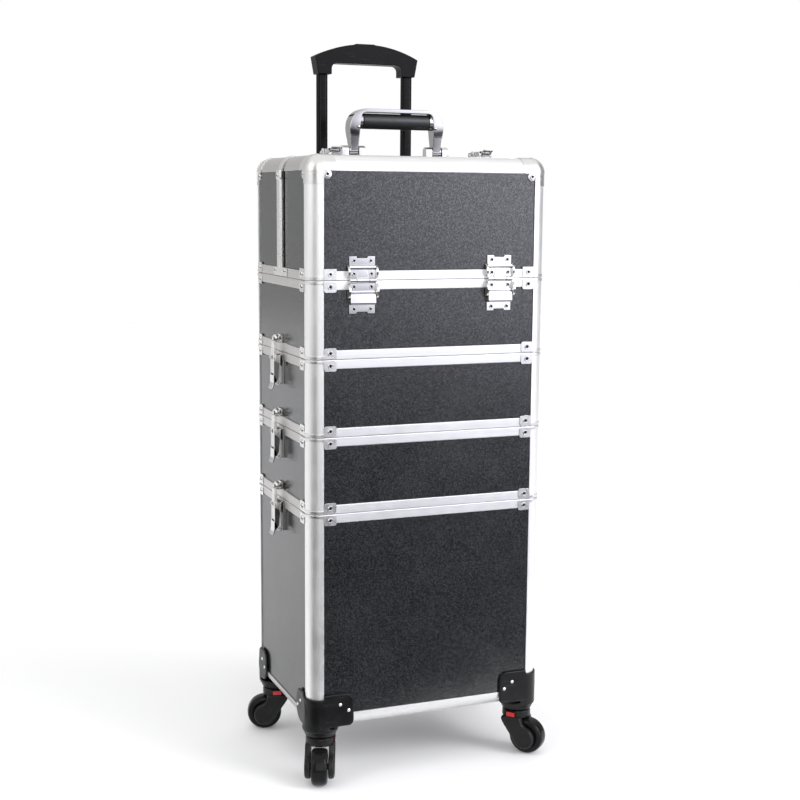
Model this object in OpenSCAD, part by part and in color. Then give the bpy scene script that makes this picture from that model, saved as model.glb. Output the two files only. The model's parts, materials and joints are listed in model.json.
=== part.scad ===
// Rolling makeup case: a deep bin on casters, three stacked tiers and a split lid.
// The floor is z = 0, the front is towards -Y, and the origin is under the middle of the case.

/* [Case] */
// Width of the case across the front
case_w = 340; // [320:1:400]
// Depth of the case from front to back
case_d = 250; // [240:1:300]
// Height of the deep bin
bin_h = 295; // [220:1:360]
// Height of each of the three tiers
tier_h = 102; // [96:1:130]
// Height of the lid and of the hood behind it
lid_h = 160; // [150:1:190]
// Height of the bin's underside above the floor
floor_gap = 77; // [77:1:84]
// Thickness of the laminated panels
panel_t = 4; // [3:0.25:4.5]
// How far the panels sit back from the faces of the profiles
reveal = 1.5; // [1:0.1:1.5]
// Outside radius of every edge profile
edge_r = 20; // [18:0.5:22]
// Thickness of the edge profiles and half-bands
profile_t = 6; // [5.5:0.25:6.5]
// Height of one half-band at a parting
band_h = 12.2; // [10:0.1:14]
// Open line between two half-bands
parting_gap = 0.4; // [0.3:0.05:0.6]

/* [Split lid] */
// Front edge of the fixed hood
hood_front = -12; // [-16:0.5:-8]
// Width of the dark gap between the lid and the hood
split_gap = 7; // [5:0.5:8]
// Width of the chrome edge strip on the hood
strip_w = 16; // [12:0.5:20]
// Width of the T-foot below the strip
foot_w = 56; // [48:1:60]
// Distance of each front hinge from the middle
hinge_x = 98; // [70:1:115]
// Width of a front hinge
hinge_w = 36; // [30:1:44]
// Outside radius of a hinge knuckle
knuckle_r = 3; // [2.5:0.1:3.2]

/* [Draw latches] */
// Size of a top latch compared with a side latch
top_latch_scale = 0.85; // [0.7:0.05:0.95]
// Distance of each top latch from the middle
top_latch_x = 110; // [104:1:120]
// Half width of a side latch's base
latch_half = 10.9; // [10:0.1:14]

/* [Tray] */
// Height of the tray that hangs in the lid
tray_h = 32; // [24:1:36]
// Depth of the tray from front to back
tray_d = 84; // [60:1:86]
// Wall of the tray
tray_t = 2.5; // [2:0.25:4]

/* [Carry handle] */
// Distance of each leg's outer face from the middle
bail_half = 69; // [60:1:75]
// Height of the bail above the hood
bail_h = 67; // [58:1:75]
// Place of the pivot, front to back
bail_y = 12; // [8:1:20]
// Diameter of the carry grip
grip_d = 21; // [18:0.5:24]
// Length of the carry grip
grip_l = 98; // [80:1:100]

/* [Trolley] */
// Distance of each tube from the middle
tube_x = 65.5; // [55:0.5:80]
// Outer tube, across the case
tube_w = 21; // [19:0.5:24]
// Outer tube, front to back
tube_d = 17; // [15:0.5:18]
// Wall of the outer tube
tube_t = 2; // [1.5:0.25:2.5]
// Height of the grip's underside above the case
pull_up = 138; // [132:1:160]
// Travel down from the shown height
pull_down = 115; // [90:1:118]
// Half width of the trolley grip
pull_half = 79; // [77:0.5:90]

/* [Casters] */
// Diameter of the wheels
wheel_d = 50; // [44:1:50]
// Width of the wheels
wheel_w = 22; // [18:0.5:24]
// Distance of the wheel's axle behind the swivel
trail = 18; // [14:0.5:20]
// Thickness of a fork cheek
cheek_t = 8; // [6:0.5:10]
// Reach of a corner guard along the front
guard_reach_x = 62; // [56:1:72]
// Reach of a corner guard along the side
guard_reach_y = 53; // [48:1:62]
// Height of a corner guard on the case
guard_h = 49; // [44:1:60]

/* [Hidden] */
$fn = 48;
hw = case_w / 2;
hd = case_d / 2;
z0 = floor_gap;
// Partings from the bin upwards, then the top
z4 = z0 + bin_h;
z3 = z4 + tier_h;
z2 = z3 + tier_h;
z1 = z2 + tier_h;
zt = z1 + lid_h;
partings = [z4, z3, z2, z1];
// Inside reach of walls and profiles
in_x = hw - edge_r;
in_y = hd - edge_r;
face_in = reveal + panel_t;
lid_back = hood_front - split_gap;
band_cut = hood_front - (foot_w - strip_w) / 2;
half_gap = parting_gap / 2;
fit = 0.06;
skin = 0.05;
chrome_t = 0.9;
// Front hinge axis
axis_y = -hd - knuckle_r - 0.4;
leaf_t = 1.6;
pin_r = knuckle_r / 2;
// Tray linkage, measured from the hinge axis
tray_pivot = [34, 70];
tray_lead = 18;
tray_drop = 10;
arm_root = [48, -3];
arm_w = 7;
arm_t = 3;
tray_half = hw - 18;
arm_x = hw - 15;
link_pin_r = 2;
// Side latch: pivots measured outward from the band face and up from the parting
lever_pivot = [9, -9];
claw_pivot = [9, -27];
lever_half = latch_half - 2.4;
lever_t = 2;
lever_pin_r = 2;
claw_pin_r = 1.5;
claw_half = lever_half - 3;
claw_t = 2.5;
dome_r = 6.5;
dome_z = 18;
ear_t = 2;
keeper_top = 16;
// Carry handle
bail_pivot_z = zt + 10;
leg_t = 14;
bail_d = 22;
leg_d = 12;
strap_t = 6;
bail_pin_r = 3;
grip_z = zt + bail_h - strap_t - grip_d / 2 - 0.3;
foot_ear_t = 9.5;
// Trolley
tube_y = hd + 0.2 + tube_d / 2;
tube_bottom = z0 + edge_r + 4;
tube_top = zt - 10;
slide_gap = 0.35;
tube_r = 7.8;
inner_r = tube_r - tube_t - slide_gap;
inner_w = tube_w - 2 * tube_t - 2 * slide_gap;
inner_d = tube_d - 2 * tube_t - 2 * slide_gap;
pull_z = zt + pull_up;
socket_z = pull_z - 16;
pull_rise = 19;
pull_thick = 23.6;
pull_edge = 9;
inner_bottom = tube_bottom + pull_down + 12;
bracket_h = 24;
bracket_t = 2.6;
push_w = 30;
push_d = 10;
push_h = 8;
push_proud = 1.2;
push_travel = 2.5;
// Casters
swivel_x = in_x - 2;
swivel_y = in_y - 2;
wheel_r = wheel_d / 2;
collar_r = 25;
collar_h = 12;
guard_t = 2.6;
// How far the guard's edge dips at the corner
guard_dip = 6;
stem_r = 6;
stem_top = z0 + 12;
boss_top = z0 + 13;
fork_top = z0 - collar_h - 0.3;
crown_r = 20;
crown_z = wheel_d + 2;
axle_r = 4;
fork_in = wheel_w / 2 + 1.2;
button_w = 12;
button_deep = 6;
button_h = 6;
button_z = (crown_z + fork_top) / 2;
rail_end = 38;
floor_z = z0 + 14;
// Corner, heading and button side of each caster: front left, front right, rear left, rear right
FL = [-1, -1, 248.3, 1];
FR = [1, -1, 310, -1];
RL = [-1, 1, 166, 1];
RR = [1, 1, 14, -1];

// Box from its lowest to its highest corner
module span(lo, hi) {
  translate(lo) cube(hi - lo);
}

// Quarter-round profile along local z, starting at the given angle
module quarter_bar(len, start, r_in = edge_r - profile_t, r_out = edge_r) {
  rotate(start) rotate_extrude(angle = 90) translate([r_in, 0]) square([r_out - r_in, len]);
}

// Angle at which a corner's quarter circle starts
function corner_start(sx, sy) = sx > 0 ? (sy > 0 ? 0 : 270) : (sy > 0 ? 90 : 180);

// Post at one corner between two heights
module post(sx, sy, z_lo, z_hi) {
  translate([sx * in_x, sy * in_y, z_lo]) quarter_bar(z_hi - z_lo, corner_start(sx, sy));
}

// Rail along X at the front or back; up is 1 for the top and -1 for the bottom
module rail_x(sy, up, zc, half) {
  start = up > 0 ? (sy > 0 ? 90 : 180) : (sy > 0 ? 0 : 270);
  translate([-half, sy * in_y, zc]) rotate([0, 90, 0]) quarter_bar(2 * half, start);
}

// Rail along Y on one side, from y_lo to y_hi
module rail_y(sx, up, zc, y_lo, y_hi) {
  start = up > 0 ? (sx > 0 ? 270 : 180) : (sx > 0 ? 0 : 90);
  translate([sx * in_x, y_lo, zc]) rotate([-90, 0, 0]) quarter_bar(y_hi - y_lo, start);
}

// Slab in the plane of the front or back wall
module wall_y(sy, half, z_lo, z_hi, out = reveal, t = panel_t) {
  y_out = sy * (hd - out);
  y_in = sy * (hd - out - t);
  span([-half, min(y_in, y_out), z_lo], [half, max(y_in, y_out), z_hi]);
}

// Slab in the plane of a side wall
module wall_x(sx, y_lo, y_hi, z_lo, z_hi, out = reveal, t = panel_t) {
  x_out = sx * (hw - out);
  x_in = sx * (hw - out - t);
  span([min(x_in, x_out), y_lo, z_lo], [max(x_in, x_out), y_hi, z_hi]);
}

// Four walls of a section between the posts
module four_walls(z_lo, z_hi) {
  for (s = [-1, 1]) {
    wall_y(s, in_x, z_lo, z_hi);
    wall_x(s, -in_y, in_y, z_lo, z_hi);
  }
}

// Floor of a tier, cut back round the posts
module tier_floor(z) {
  room = profile_t + 0.1;
  span([-hw + room, -in_y, z], [hw - room, in_y, z + panel_t]);
  span([-in_x, -hd + room, z], [in_x, hd - room, z + panel_t]);
}

module bin_panels() {
  color("dimgray") {
    four_walls(z0 + edge_r, z4 - band_h);
    span([-in_x, -hd + profile_t + reveal, floor_z], [in_x, hd - profile_t - reveal, floor_z + panel_t]);
  }
}

module tier_panels() {
  color("dimgray")
    for (z = [z4, z3, z2]) {
      four_walls(z + band_h, z + tier_h - band_h);
      tier_floor(z + 1);
    }
}

module hood_panels() {
  color("dimgray") {
    wall_y(1, in_x, z1 + band_h, zt - edge_r);
    for (s = [-1, 1])
      wall_x(s, hood_front, in_y, z1 + band_h, zt - edge_r);
    span([-in_x, hood_front, zt - face_in], [in_x, in_y, zt - reveal]);
  }
}

// Arch outline across the case, with its round shoulders
module arch(half, top, r, foot) {
  translate([-half, foot]) square([2 * half, top - r - foot]);
  translate([r - half, foot]) square([2 * (half - r), top - foot]);
  for (s = [-1, 1])
    translate([s * (half - r), top - r]) circle(r);
}

// Dark lip on the hood that the front lid closes over
module hood_lip() {
  lip_r = edge_r - profile_t - 0.4;
  lip_t = 2.5;
  lip_back = 10;
  lip_reach = 27;
  half = in_x + lip_r;
  color("black")
    translate([0, hood_front + lip_back, 0]) rotate([90, 0, 0])
      linear_extrude(split_gap + lip_reach - lip_back) difference() {
        arch(half, zt - edge_r + lip_r, lip_r, z1 + band_h + 1);
        arch(half - lip_t, zt - edge_r + lip_r - lip_t, lip_r - lip_t, z1 + band_h);
      }
}

// Posts of every section but the lid, cut at the partings
module corner_posts() {
  color("silver") {
    for (sx = [-1, 1], sy = [-1, 1]) {
      post(sx, sy, z0 + edge_r, z4 - half_gap);
      for (z = [z4, z3, z2])
        post(sx, sy, z + half_gap, z + tier_h - half_gap);
    }
    for (sx = [-1, 1])
      post(sx, 1, z1 + half_gap, zt - edge_r);
  }
}

// Bottom rails between the guards, and the hood's top frame
module edge_rails() {
  color("silver") {
    for (s = [-1, 1]) {
      rail_x(s, -1, z0 + edge_r, hw - rail_end);
      rail_y(s, -1, z0 + edge_r, -hd + rail_end, hd - rail_end);
      rail_y(s, 1, zt - edge_r, hood_front, in_y);
    }
    rail_x(1, 1, zt - edge_r, in_x);
  }
}

// Four half-bands between two heights
module band_ring(z_lo, z_hi) {
  for (s = [-1, 1]) {
    wall_y(s, in_x, z_lo, z_hi, 0, profile_t);
    wall_x(s, -in_y, in_y, z_lo, z_hi, 0, profile_t);
  }
}

module joint_bands() {
  color("gainsboro") {
    for (z = partings)
      band_ring(z - band_h, z - half_gap);
    for (z = [z4, z3, z2])
      band_ring(z + half_gap, z + band_h);
    wall_y(1, in_x, z1 + half_gap, z1 + band_h, 0, profile_t);
    for (s = [-1, 1])
      wall_x(s, band_cut, in_y, z1 + half_gap, z1 + band_h, 0, profile_t);
  }
}

plate_gap = 1.2;
plate_h = 14;
plate_tab = 17;

// Height of the lip that joins a plate's two tabs round the post
lip_h = 3.5;

// Chrome corner plate above (up = 1) or below (up = -1) a parting: a tab on each face and a narrow lip
module corner_plate(sx, sy, z, up) {
  r = edge_r + skin;
  tab_x = sx > 0 ? -plate_tab : 0;
  tab_y = sy > 0 ? -plate_tab : 0;
  face_x = sx > 0 ? r : -r - chrome_t;
  face_y = sy > 0 ? r : -r - chrome_t;
  translate([sx * in_x, sy * in_y, z + up * plate_gap]) mirror([0, 0, up > 0 ? 0 : 1]) {
    quarter_bar(lip_h, corner_start(sx, sy), r, r + chrome_t);
    translate([tab_x, face_y, 0]) cube([plate_tab, chrome_t, plate_h]);
    translate([face_x, tab_y, 0]) cube([chrome_t, plate_tab, plate_h]);
  }
}

// How far the round of a top corner cap stands out past its sleeves
ball_proud = 0.4;

// Three-way chrome cap on a top corner, with a sleeve over each profile
module corner_cap(sx, sy) {
  r = edge_r + skin;
  ro = r + chrome_t;
  sleeve = plate_tab;
  start = corner_start(sx, sy);
  translate([sx * in_x, sy * in_y, zt - edge_r]) {
    intersection() {
      difference() {
        sphere(ro + ball_proud);
        sphere(edge_r - profile_t);
      }
      rotate(start) cube(2 * edge_r);
    }
    translate([0, 0, -sleeve]) quarter_bar(sleeve + 0.5, start, r, ro);
    x_start = sy > 0 ? 90 : 180;
    translate([sx > 0 ? -sleeve : -0.5, 0, 0]) rotate([0, 90, 0]) quarter_bar(sleeve + 0.5, x_start, r, ro);
    y_start = sx > 0 ? 270 : 180;
    translate([0, sy > 0 ? -sleeve : -0.5, 0]) rotate([-90, 0, 0]) quarter_bar(sleeve + 0.5, y_start, r, ro);
  }
}

module corner_fittings() {
  color("lightgray") {
    for (sx = [-1, 1]) {
      for (sy = [-1, 1]) {
        for (z = partings)
          corner_plate(sx, sy, z, -1);
        for (z = [z4, z3, z2])
          corner_plate(sx, sy, z, 1);
      }
      corner_plate(sx, 1, z1, 1);
      corner_cap(sx, 1);
    }
  }
}

strip_proud = 4;
t_proud = 1.5;

// Chrome strip down the hood's front edge, its top clip and its T-foot
module hood_strips() {
  clip_r = edge_r + skin;
  clip_t = 1.2;
  color("lightgray")
    for (s = [-1, 1]) {
      strip_t = strip_proud + reveal - skin;
      wall_x(s, hood_front, hood_front + strip_w, z1 + band_h, zt - edge_r, -strip_proud, strip_t);
      wall_x(s, band_cut, band_cut + foot_w, z1 + plate_gap, z1 + band_h, -t_proud, t_proud - skin);
      start = s > 0 ? 270 : 180;
      translate([s * in_x, hood_front, zt - edge_r]) rotate([-90, 0, 0])
        quarter_bar(strip_w, start, clip_r, clip_r + clip_t);
    }
}

// Leg of a guard lying on a face: a plate with a round upper and lower corner
module guard_leg(len, h, t, r_low) {
  r_up = 14;
  linear_extrude(t) {
    square([len - max(r_up, r_low), h]);
    square([len - r_low, h - r_up]);
    translate([0, r_low]) square([len - r_up, h - r_low]);
    translate([0, r_low]) square([len, h - r_up - r_low]);
    translate([len - r_up, h - r_up]) circle(r_up);
    translate([len - r_low, r_low]) circle(r_low);
  }
}

// Corner guard in the corner at +X, -Y; the others are mirrored from it
module guard() {
  r = edge_r + skin;
  leg_z = z0 + 3;
  leg_h = guard_h - 3;
  difference() {
    union() {
      translate([in_x, -in_y, z0 - 4]) quarter_bar(guard_h + 4 - guard_dip, 270, r, r + guard_t);
      translate([in_x, -in_y - r, leg_z]) mirror([1, 0, 0]) rotate([90, 0, 0])
        guard_leg(guard_reach_x - edge_r, leg_h, guard_t, 8);
      translate([in_x + r, -in_y, leg_z]) rotate([90, 0, 90])
        guard_leg(guard_reach_y - edge_r, leg_h, guard_t, 20);
      translate([swivel_x, -swivel_y, z0 - collar_h])
        cylinder(r1 = crown_r + 0.8, r2 = collar_r, h = collar_h - skin);
      translate([swivel_x, -swivel_y, z0 - 1]) cylinder(r = 2 * stem_r, h = boss_top - z0 + 1);
    }
    translate([swivel_x, -swivel_y, z0 - collar_h - 1]) cylinder(r = stem_r + fit, h = collar_h + 20);
  }
}

// One piece in each bottom corner
module each_corner() {
  for (mx = [0, 1], my = [0, 1])
    mirror([mx, 0, 0]) mirror([0, my, 0]) children();
}

module corner_guards() {
  color("black") each_corner() guard();
}

// Rivet heads: on the chrome plates, on the guards, and their height
plate_rivet = 6.4;
guard_rivet = 4.4;
rivet_h = 0.9;

// Rivet head on a front or back face
module rivet_y(x, sy, z, out, d) {
  y = sy * (hd + out);
  translate([x, y, z]) rotate([sy > 0 ? -90 : 90, 0, 0]) cylinder(d = d, h = rivet_h);
}

// Rivet head on a side face
module rivet_x(sx, y, z, out, d) {
  translate([sx * (hw + out), y, z]) rotate([0, sx * 90, 0]) cylinder(d = d, h = rivet_h);
}

plate_out = skin + chrome_t;
rivet_in = edge_r + plate_tab / 2;

// The two rivets of one corner plate
module plate_rivets(sx, sy, z) {
  rivet_y(sx * (hw - rivet_in), sy, z, plate_out, plate_rivet);
  rivet_x(sx, sy * (hd - rivet_in), z, plate_out, plate_rivet);
}

module rivets() {
  foot_rivet = 7;
  up = plate_gap + plate_h / 2;
  guard_out = skin + guard_t;
  // In from the end of a guard's leg, and down from its top
  guard_rivets = [[20, 15], [8, 24]];
  color("silver") {
    for (sx = [-1, 1], sy = [-1, 1]) {
      for (z = partings)
        plate_rivets(sx, sy, z - up);
      for (z = [z4, z3, z2])
        plate_rivets(sx, sy, z + up);
      for (g = guard_rivets) {
        rivet_z = z0 + guard_h - g[1];
        rivet_y(sx * (hw - guard_reach_x + g[0]), sy, rivet_z, guard_out, guard_rivet);
        rivet_x(sx, sy * (hd - guard_reach_y + g[0]), rivet_z, guard_out, guard_rivet);
      }
    }
    for (sx = [-1, 1]) {
      plate_rivets(sx, 1, z1 + up);
      for (y = [band_cut + foot_rivet, band_cut + foot_w - foot_rivet])
        rivet_x(sx, y, z1 + up, t_proud, guard_rivet);
    }
  }
}

// Padded dividers: one long and two short in each closed tier
module tier_dividers() {
  t = 5;
  h = 70;
  cell_x = 60;
  reach_x = hw - face_in - 0.5;
  reach_y = hd - profile_t - 0.5;
  color("darkslategray")
    for (z = [z4, z3]) {
      z_lo = z + 1 + panel_t;
      span([-reach_x, -t / 2, z_lo], [reach_x, t / 2, z_lo + h]);
      for (x = [-cell_x, cell_x]) {
        span([x - t / 2, -reach_y, z_lo], [x + t / 2, -t / 2, z_lo + h]);
        span([x - t / 2, t / 2, z_lo], [x + t / 2, reach_y, z_lo + h]);
      }
    }
}

// Extrude an outline drawn in X and Z along Y, from y_lo
module along_y(y_lo, len) {
  translate([0, y_lo + len, 0]) rotate([90, 0, 0]) linear_extrude(len) children();
}

// Extrude an outline drawn in Y and Z along X, from x_lo
module along_x(x_lo, len) {
  translate([x_lo, 0, 0]) rotate([90, 0, 90]) linear_extrude(len) children();
}

// Rod along X through a point in Y and Z
module rod_x(r, x_lo, x_hi, y, z) {
  translate([x_lo, y, z]) rotate([0, 90, 0]) cylinder(r = r, h = x_hi - x_lo);
}

// Rod along Y through a point in X and Z
module rod_y(r, y_lo, y_hi, x, z) {
  translate([x, y_lo, z]) rotate([-90, 0, 0]) cylinder(r = r, h = y_hi - y_lo);
}

// Side latch place: local x points out of the side, local z is up from the parting
module at_side(s, z) {
  translate([s * hw, 0, z]) mirror([s > 0 ? 0 : 1, 0, 0]) children();
}

// Top latch place: local x points up and local z points back, from the lid's rear edge
module at_top(s) {
  top_face = zt - reveal * (1 - top_latch_scale);
  translate([s * top_latch_x, lid_back, top_face]) rotate([-90, -90, 0]) scale(top_latch_scale) children();
}

base_t = 1.5;
base_foot = -44.5;
ear_boss = 4.2;
// Side keeper: half widths of plate and catch, its top and its reach
keeper_half = 9;
catch_half = 5;
keeper_plate = 23;
catch_out = 6.8;

// Latch base: plate on the panel and band, two ears and their pivot stubs
module latch_base() {
  step = -band_h - skin;
  span([-reveal + skin, -latch_half, base_foot], [base_t, latch_half, step]);
  span([skin, -latch_half, step], [base_t, latch_half, -plate_gap]);
  stub_in = lever_half - lever_t;
  for (m = [0, 1])
    mirror([0, m, 0]) {
      along_y(latch_half - ear_t, ear_t) {
        translate(lever_pivot) circle(ear_boss);
        polygon([[1, -3], [1, -30], [lever_pivot[0], -13.2], [lever_pivot[0], -4.8]]);
      }
      rod_y(lever_pin_r, stub_in, latch_half, lever_pivot[0], lever_pivot[1]);
    }
}

// Latch lever: two cheeks joined by the finger tab
module latch_lever() {
  difference() {
    union() {
      for (m = [0, 1])
        mirror([0, m, 0]) along_y(lever_half - lever_t, lever_t) {
          translate(lever_pivot) circle(ear_boss);
          translate([5.5, -40]) square([6.5, 40 + lever_pivot[1]]);
        }
      along_y(-lever_half, 2 * lever_half)
        polygon([[8, -39], [10.8, -32], [12.8, -32], [12.8, -42],
                 [15, -49.5], [13.5, -50.5], [10.5, -43], [8, -41.5]]);
    }
    rod_y(lever_pin_r + fit, -20, 20, lever_pivot[0], lever_pivot[1]);
    rod_y(claw_pin_r + fit, -20, 20, claw_pivot[0], claw_pivot[1]);
  }
}

// Latch claw: plate with a round head and key slot, hook lip and pin
module latch_claw(lip_end) {
  lock_r = 5.3;
  lock_h = 4;
  lip_half = 3.5;
  slot_half = 3.2;
  slot_w = 1.4;
  face = claw_pivot[0] + claw_t / 2;
  along_x(face - claw_t, claw_t) {
    translate([-claw_half, claw_pivot[1] - 3]) square([2 * claw_half, dome_z - claw_pivot[1] + 3]);
    translate([0, dome_z]) circle(dome_r);
  }
  span([lip_end, -lip_half, keeper_top + 0.5], [face - 0.5, lip_half, keeper_top + 3.5]);
  rod_y(claw_pin_r, -lever_half, lever_half, claw_pivot[0], claw_pivot[1]);
  difference() {
    rod_x(lock_r, face - 0.1, face + lock_h, 0, dome_z);
    span([face + lock_h / 2, -slot_w / 2, dome_z - slot_half],
         [face + lock_h + 1, slot_w / 2, dome_z + slot_half]);
  }
}

// Side keeper: plate on the upper section with a catch under the claw's lip
module latch_keeper() {
  span([-reveal + skin, -keeper_half, band_h + skin], [base_t, keeper_half, keeper_plate]);
  span([base_t - 0.1, -catch_half, band_h + skin], [catch_out, catch_half, keeper_top]);
}

module latch_bases() {
  color("lightgray")
    for (s = [-1, 1], z = [z2, z3, z4])
      at_side(s, z) latch_base();
}

module latch_keepers() {
  seat = zt - reveal + skin;
  color("lightgray") {
    for (s = [-1, 1], z = [z2, z3, z4])
      at_side(s, z) latch_keeper();
    // Low ramp on the hood for each top claw, so that the lid can lift over it
    y = hood_front;
    for (s = [-1, 1])
      along_x(s * top_latch_x - 6, 12)
        polygon([[y + 0.3, seat], [y + 0.3, zt + 3.2], [y + 1.5, zt + 3.2],
                 [y + 6, zt + 0.2], [y + 6, seat]]);
  }
}

module top_latch_bases() {
  color("lightgray") for (s = [-1, 1]) at_top(s) latch_base();
}

side_lip = 3;
top_lip = 2.2;

module side_lever(s, z) { color("gainsboro") at_side(s, z) latch_lever(); }
module side_claw(s, z) { color("lightgray") at_side(s, z) latch_claw(side_lip); }
module top_lever(s) { color("gainsboro") at_top(s) latch_lever(); }
module top_claw(s) { color("lightgray") at_top(s) latch_claw(top_lip); }

knuckle_in = 9;
// How far the hinge plates reach below and above the parting, and the bulge of the lower one
hinge_drop = 43;
hinge_rise = 31;
bulge_r = 9;
bulge_z = -22;
bead_r = 4;
tab_h = knuckle_r + 0.7;
cheek_w = 3.5;

// Place of a front hinge: y = 0 on the band's face and z = 0 on the parting
module at_hinges() {
  for (s = [-1, 1])
    translate([s * hinge_x, -hd, z1]) children();
}

// Keep what stands in front of the given plane
module in_front_of(y) {
  difference() {
    children();
    span([-hinge_w, y, -2 * hinge_drop], [hinge_w, 2 * hinge_drop, 2 * hinge_drop]);
  }
}

module hinge_lower_leaves() {
  half = hinge_w / 2;
  seat = reveal - skin;
  pin_y = -knuckle_r - 0.4;
  color("gainsboro") at_hinges() {
    span([-half, -leaf_t, -band_h - 1], [half, -skin, 0.1 - tab_h]);
    span([-half, -leaf_t, -band_h - 6], [half, seat, -band_h - skin]);
    span([-half, seat - leaf_t, -hinge_drop], [half, seat, bulge_z - bulge_r / 2]);
    in_front_of(seat) rod_x(bulge_r, -half, half, 1, bulge_z);
    for (m = [0, 1])
      mirror([m, 0, 0]) {
        in_front_of(-skin) rod_x(12, half - 0.2, half + cheek_w, 2, -14);
        span([knuckle_in, pin_y, -tab_h], [half, -skin, 0]);
        rod_x(knuckle_r, knuckle_in, half, pin_y, 0);
      }
    rod_x(pin_r, -half, half, pin_y, 0);
  }
}

module hinge_upper_leaves() {
  half = hinge_w / 2;
  mid = knuckle_in - 0.3;
  seat = reveal - skin;
  pin_y = -knuckle_r - 0.4;
  color("gainsboro") at_hinges() difference() {
    union() {
      span([-half, -leaf_t, tab_h - 0.1], [half, -skin, band_h + 1]);
      span([-half, -leaf_t, band_h + skin], [half, seat, band_h + 4]);
      span([-half, seat - leaf_t, band_h + skin], [half, seat, hinge_rise]);
      in_front_of(seat) rod_x(bead_r, -half, half, 0, band_h + bead_r + 0.3);
      for (m = [0, 1])
        mirror([m, 0, 0]) in_front_of(-skin) rod_x(9, half - 0.2, half + cheek_w, 2, 11);
      span([-mid, pin_y, 0], [mid, -skin, tab_h]);
      rod_x(knuckle_r, -mid, mid, pin_y, 0);
    }
    rod_x(pin_r + fit, -half - 1, half + 1, pin_y, 0);
  }
}

module lid_panels() {
  color("dimgray") {
    wall_y(-1, in_x, z1 + band_h, zt - edge_r);
    for (s = [-1, 1])
      wall_x(s, -in_y, lid_back, z1 + band_h + parting_gap, zt - edge_r);
    span([-in_x, -in_y, zt - face_in], [in_x, lid_back, zt - reveal]);
  }
}

module lid_profiles() {
  color("silver") {
    rail_x(-1, 1, zt - edge_r, in_x);
    wall_y(-1, in_x, z1 + half_gap, z1 + band_h, 0, profile_t);
    for (s = [-1, 1]) {
      post(s, -1, z1 + half_gap, zt - edge_r);
      rail_y(s, 1, zt - edge_r, -in_y, lid_back);
      wall_x(s, -in_y, band_cut - parting_gap, z1 + half_gap, z1 + band_h, 0, profile_t);
    }
  }
}

module lid_corner_fittings() {
  color("lightgray")
    for (s = [-1, 1]) {
      corner_plate(s, -1, z1, 1);
      corner_cap(s, -1);
      plate_rivets(s, -1, z1 + plate_gap + plate_h / 2);
    }
}

pivot_y = axis_y + tray_pivot[0];
pivot_z = z1 + tray_pivot[1];
tray_y = pivot_y - tray_lead;
tray_z = pivot_z - tray_drop;
root_y = axis_y + arm_root[0];
root_z = z1 + arm_root[1];

// Pivot plates on the lid's side walls
module tray_pivots() {
  plate_r = 8;
  plate_t = 2;
  wall_in = hw - face_in - skin;
  color("silver")
    for (m = [0, 1])
      mirror([m, 0, 0]) {
        rod_x(plate_r, wall_in - plate_t, wall_in, pivot_y, pivot_z);
        rod_x(link_pin_r, tray_half - tray_t - 1, wall_in, pivot_y, pivot_z);
      }
}

module lid_tray() {
  color("dimgray") {
    difference() {
      span([-tray_half, tray_y, tray_z], [tray_half, tray_y + tray_d, tray_z + tray_h]);
      span([-tray_half + tray_t, tray_y + tray_t, tray_z + tray_t],
           [tray_half - tray_t, tray_y + tray_d - tray_t, tray_z + tray_h + 1]);
      rod_x(link_pin_r + fit, -hw, hw, pivot_y, pivot_z);
    }
    for (m = [0, 1])
      mirror([m, 0, 0])
        rod_x(link_pin_r, tray_half - 1, arm_x + arm_t + 0.5, pivot_y + arm_root[0], pivot_z + arm_root[1]);
  }
}

// Link arms that keep the tray level, with an easy hole at the tray's end
module tray_arms() {
  arm_l = norm(tray_pivot);
  lean = atan2(tray_pivot[1], tray_pivot[0]);
  color("silver")
    for (m = [0, 1])
      mirror([m, 0, 0]) along_x(arm_x, arm_t) translate([root_y, root_z]) rotate(lean) difference() {
        union() {
          translate([0, -arm_w / 2]) square([arm_l, arm_w]);
          circle(d = arm_w);
          translate([arm_l, 0]) circle(d = arm_w);
        }
        circle(link_pin_r + fit);
        translate([arm_l, 0]) circle(link_pin_r + 1);
      }
}

// Pivots of the link arms on the upper tier's band
module arm_pivots() {
  boss_r = 3.5;
  wall_in = hw - profile_t - skin;
  color("silver")
    for (m = [0, 1])
      mirror([m, 0, 0]) {
        rod_x(boss_r, arm_x + arm_t + 0.4, wall_in, root_y, root_z);
        rod_x(link_pin_r, arm_x - 0.5, wall_in, root_y, root_z);
      }
}

ear_r = 7;
foot_half = 20;
foot_deep = 13;
foot_t = 2;
leg_mid = bail_half - leg_t / 2;

module handle_feet() {
  ear_gap = 0.5;
  color("lightgray")
    for (m = [0, 1])
      mirror([m, 0, 0]) {
        span([leg_mid - foot_half, bail_y - foot_deep, zt - reveal + skin],
             [leg_mid + foot_half, bail_y + foot_deep, zt + foot_t]);
        for (x = [leg_mid - leg_t / 2 - ear_gap - foot_ear_t, leg_mid + leg_t / 2 + ear_gap])
          along_x(x, foot_ear_t) {
            translate([bail_y, bail_pivot_z]) circle(ear_r);
            translate([bail_y - ear_r, zt + 1]) square([2 * ear_r, bail_pivot_z - zt - 1]);
          }
        rod_x(bail_pin_r, leg_mid - leg_t, leg_mid + leg_t, bail_y, bail_pivot_z);
      }
}

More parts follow.
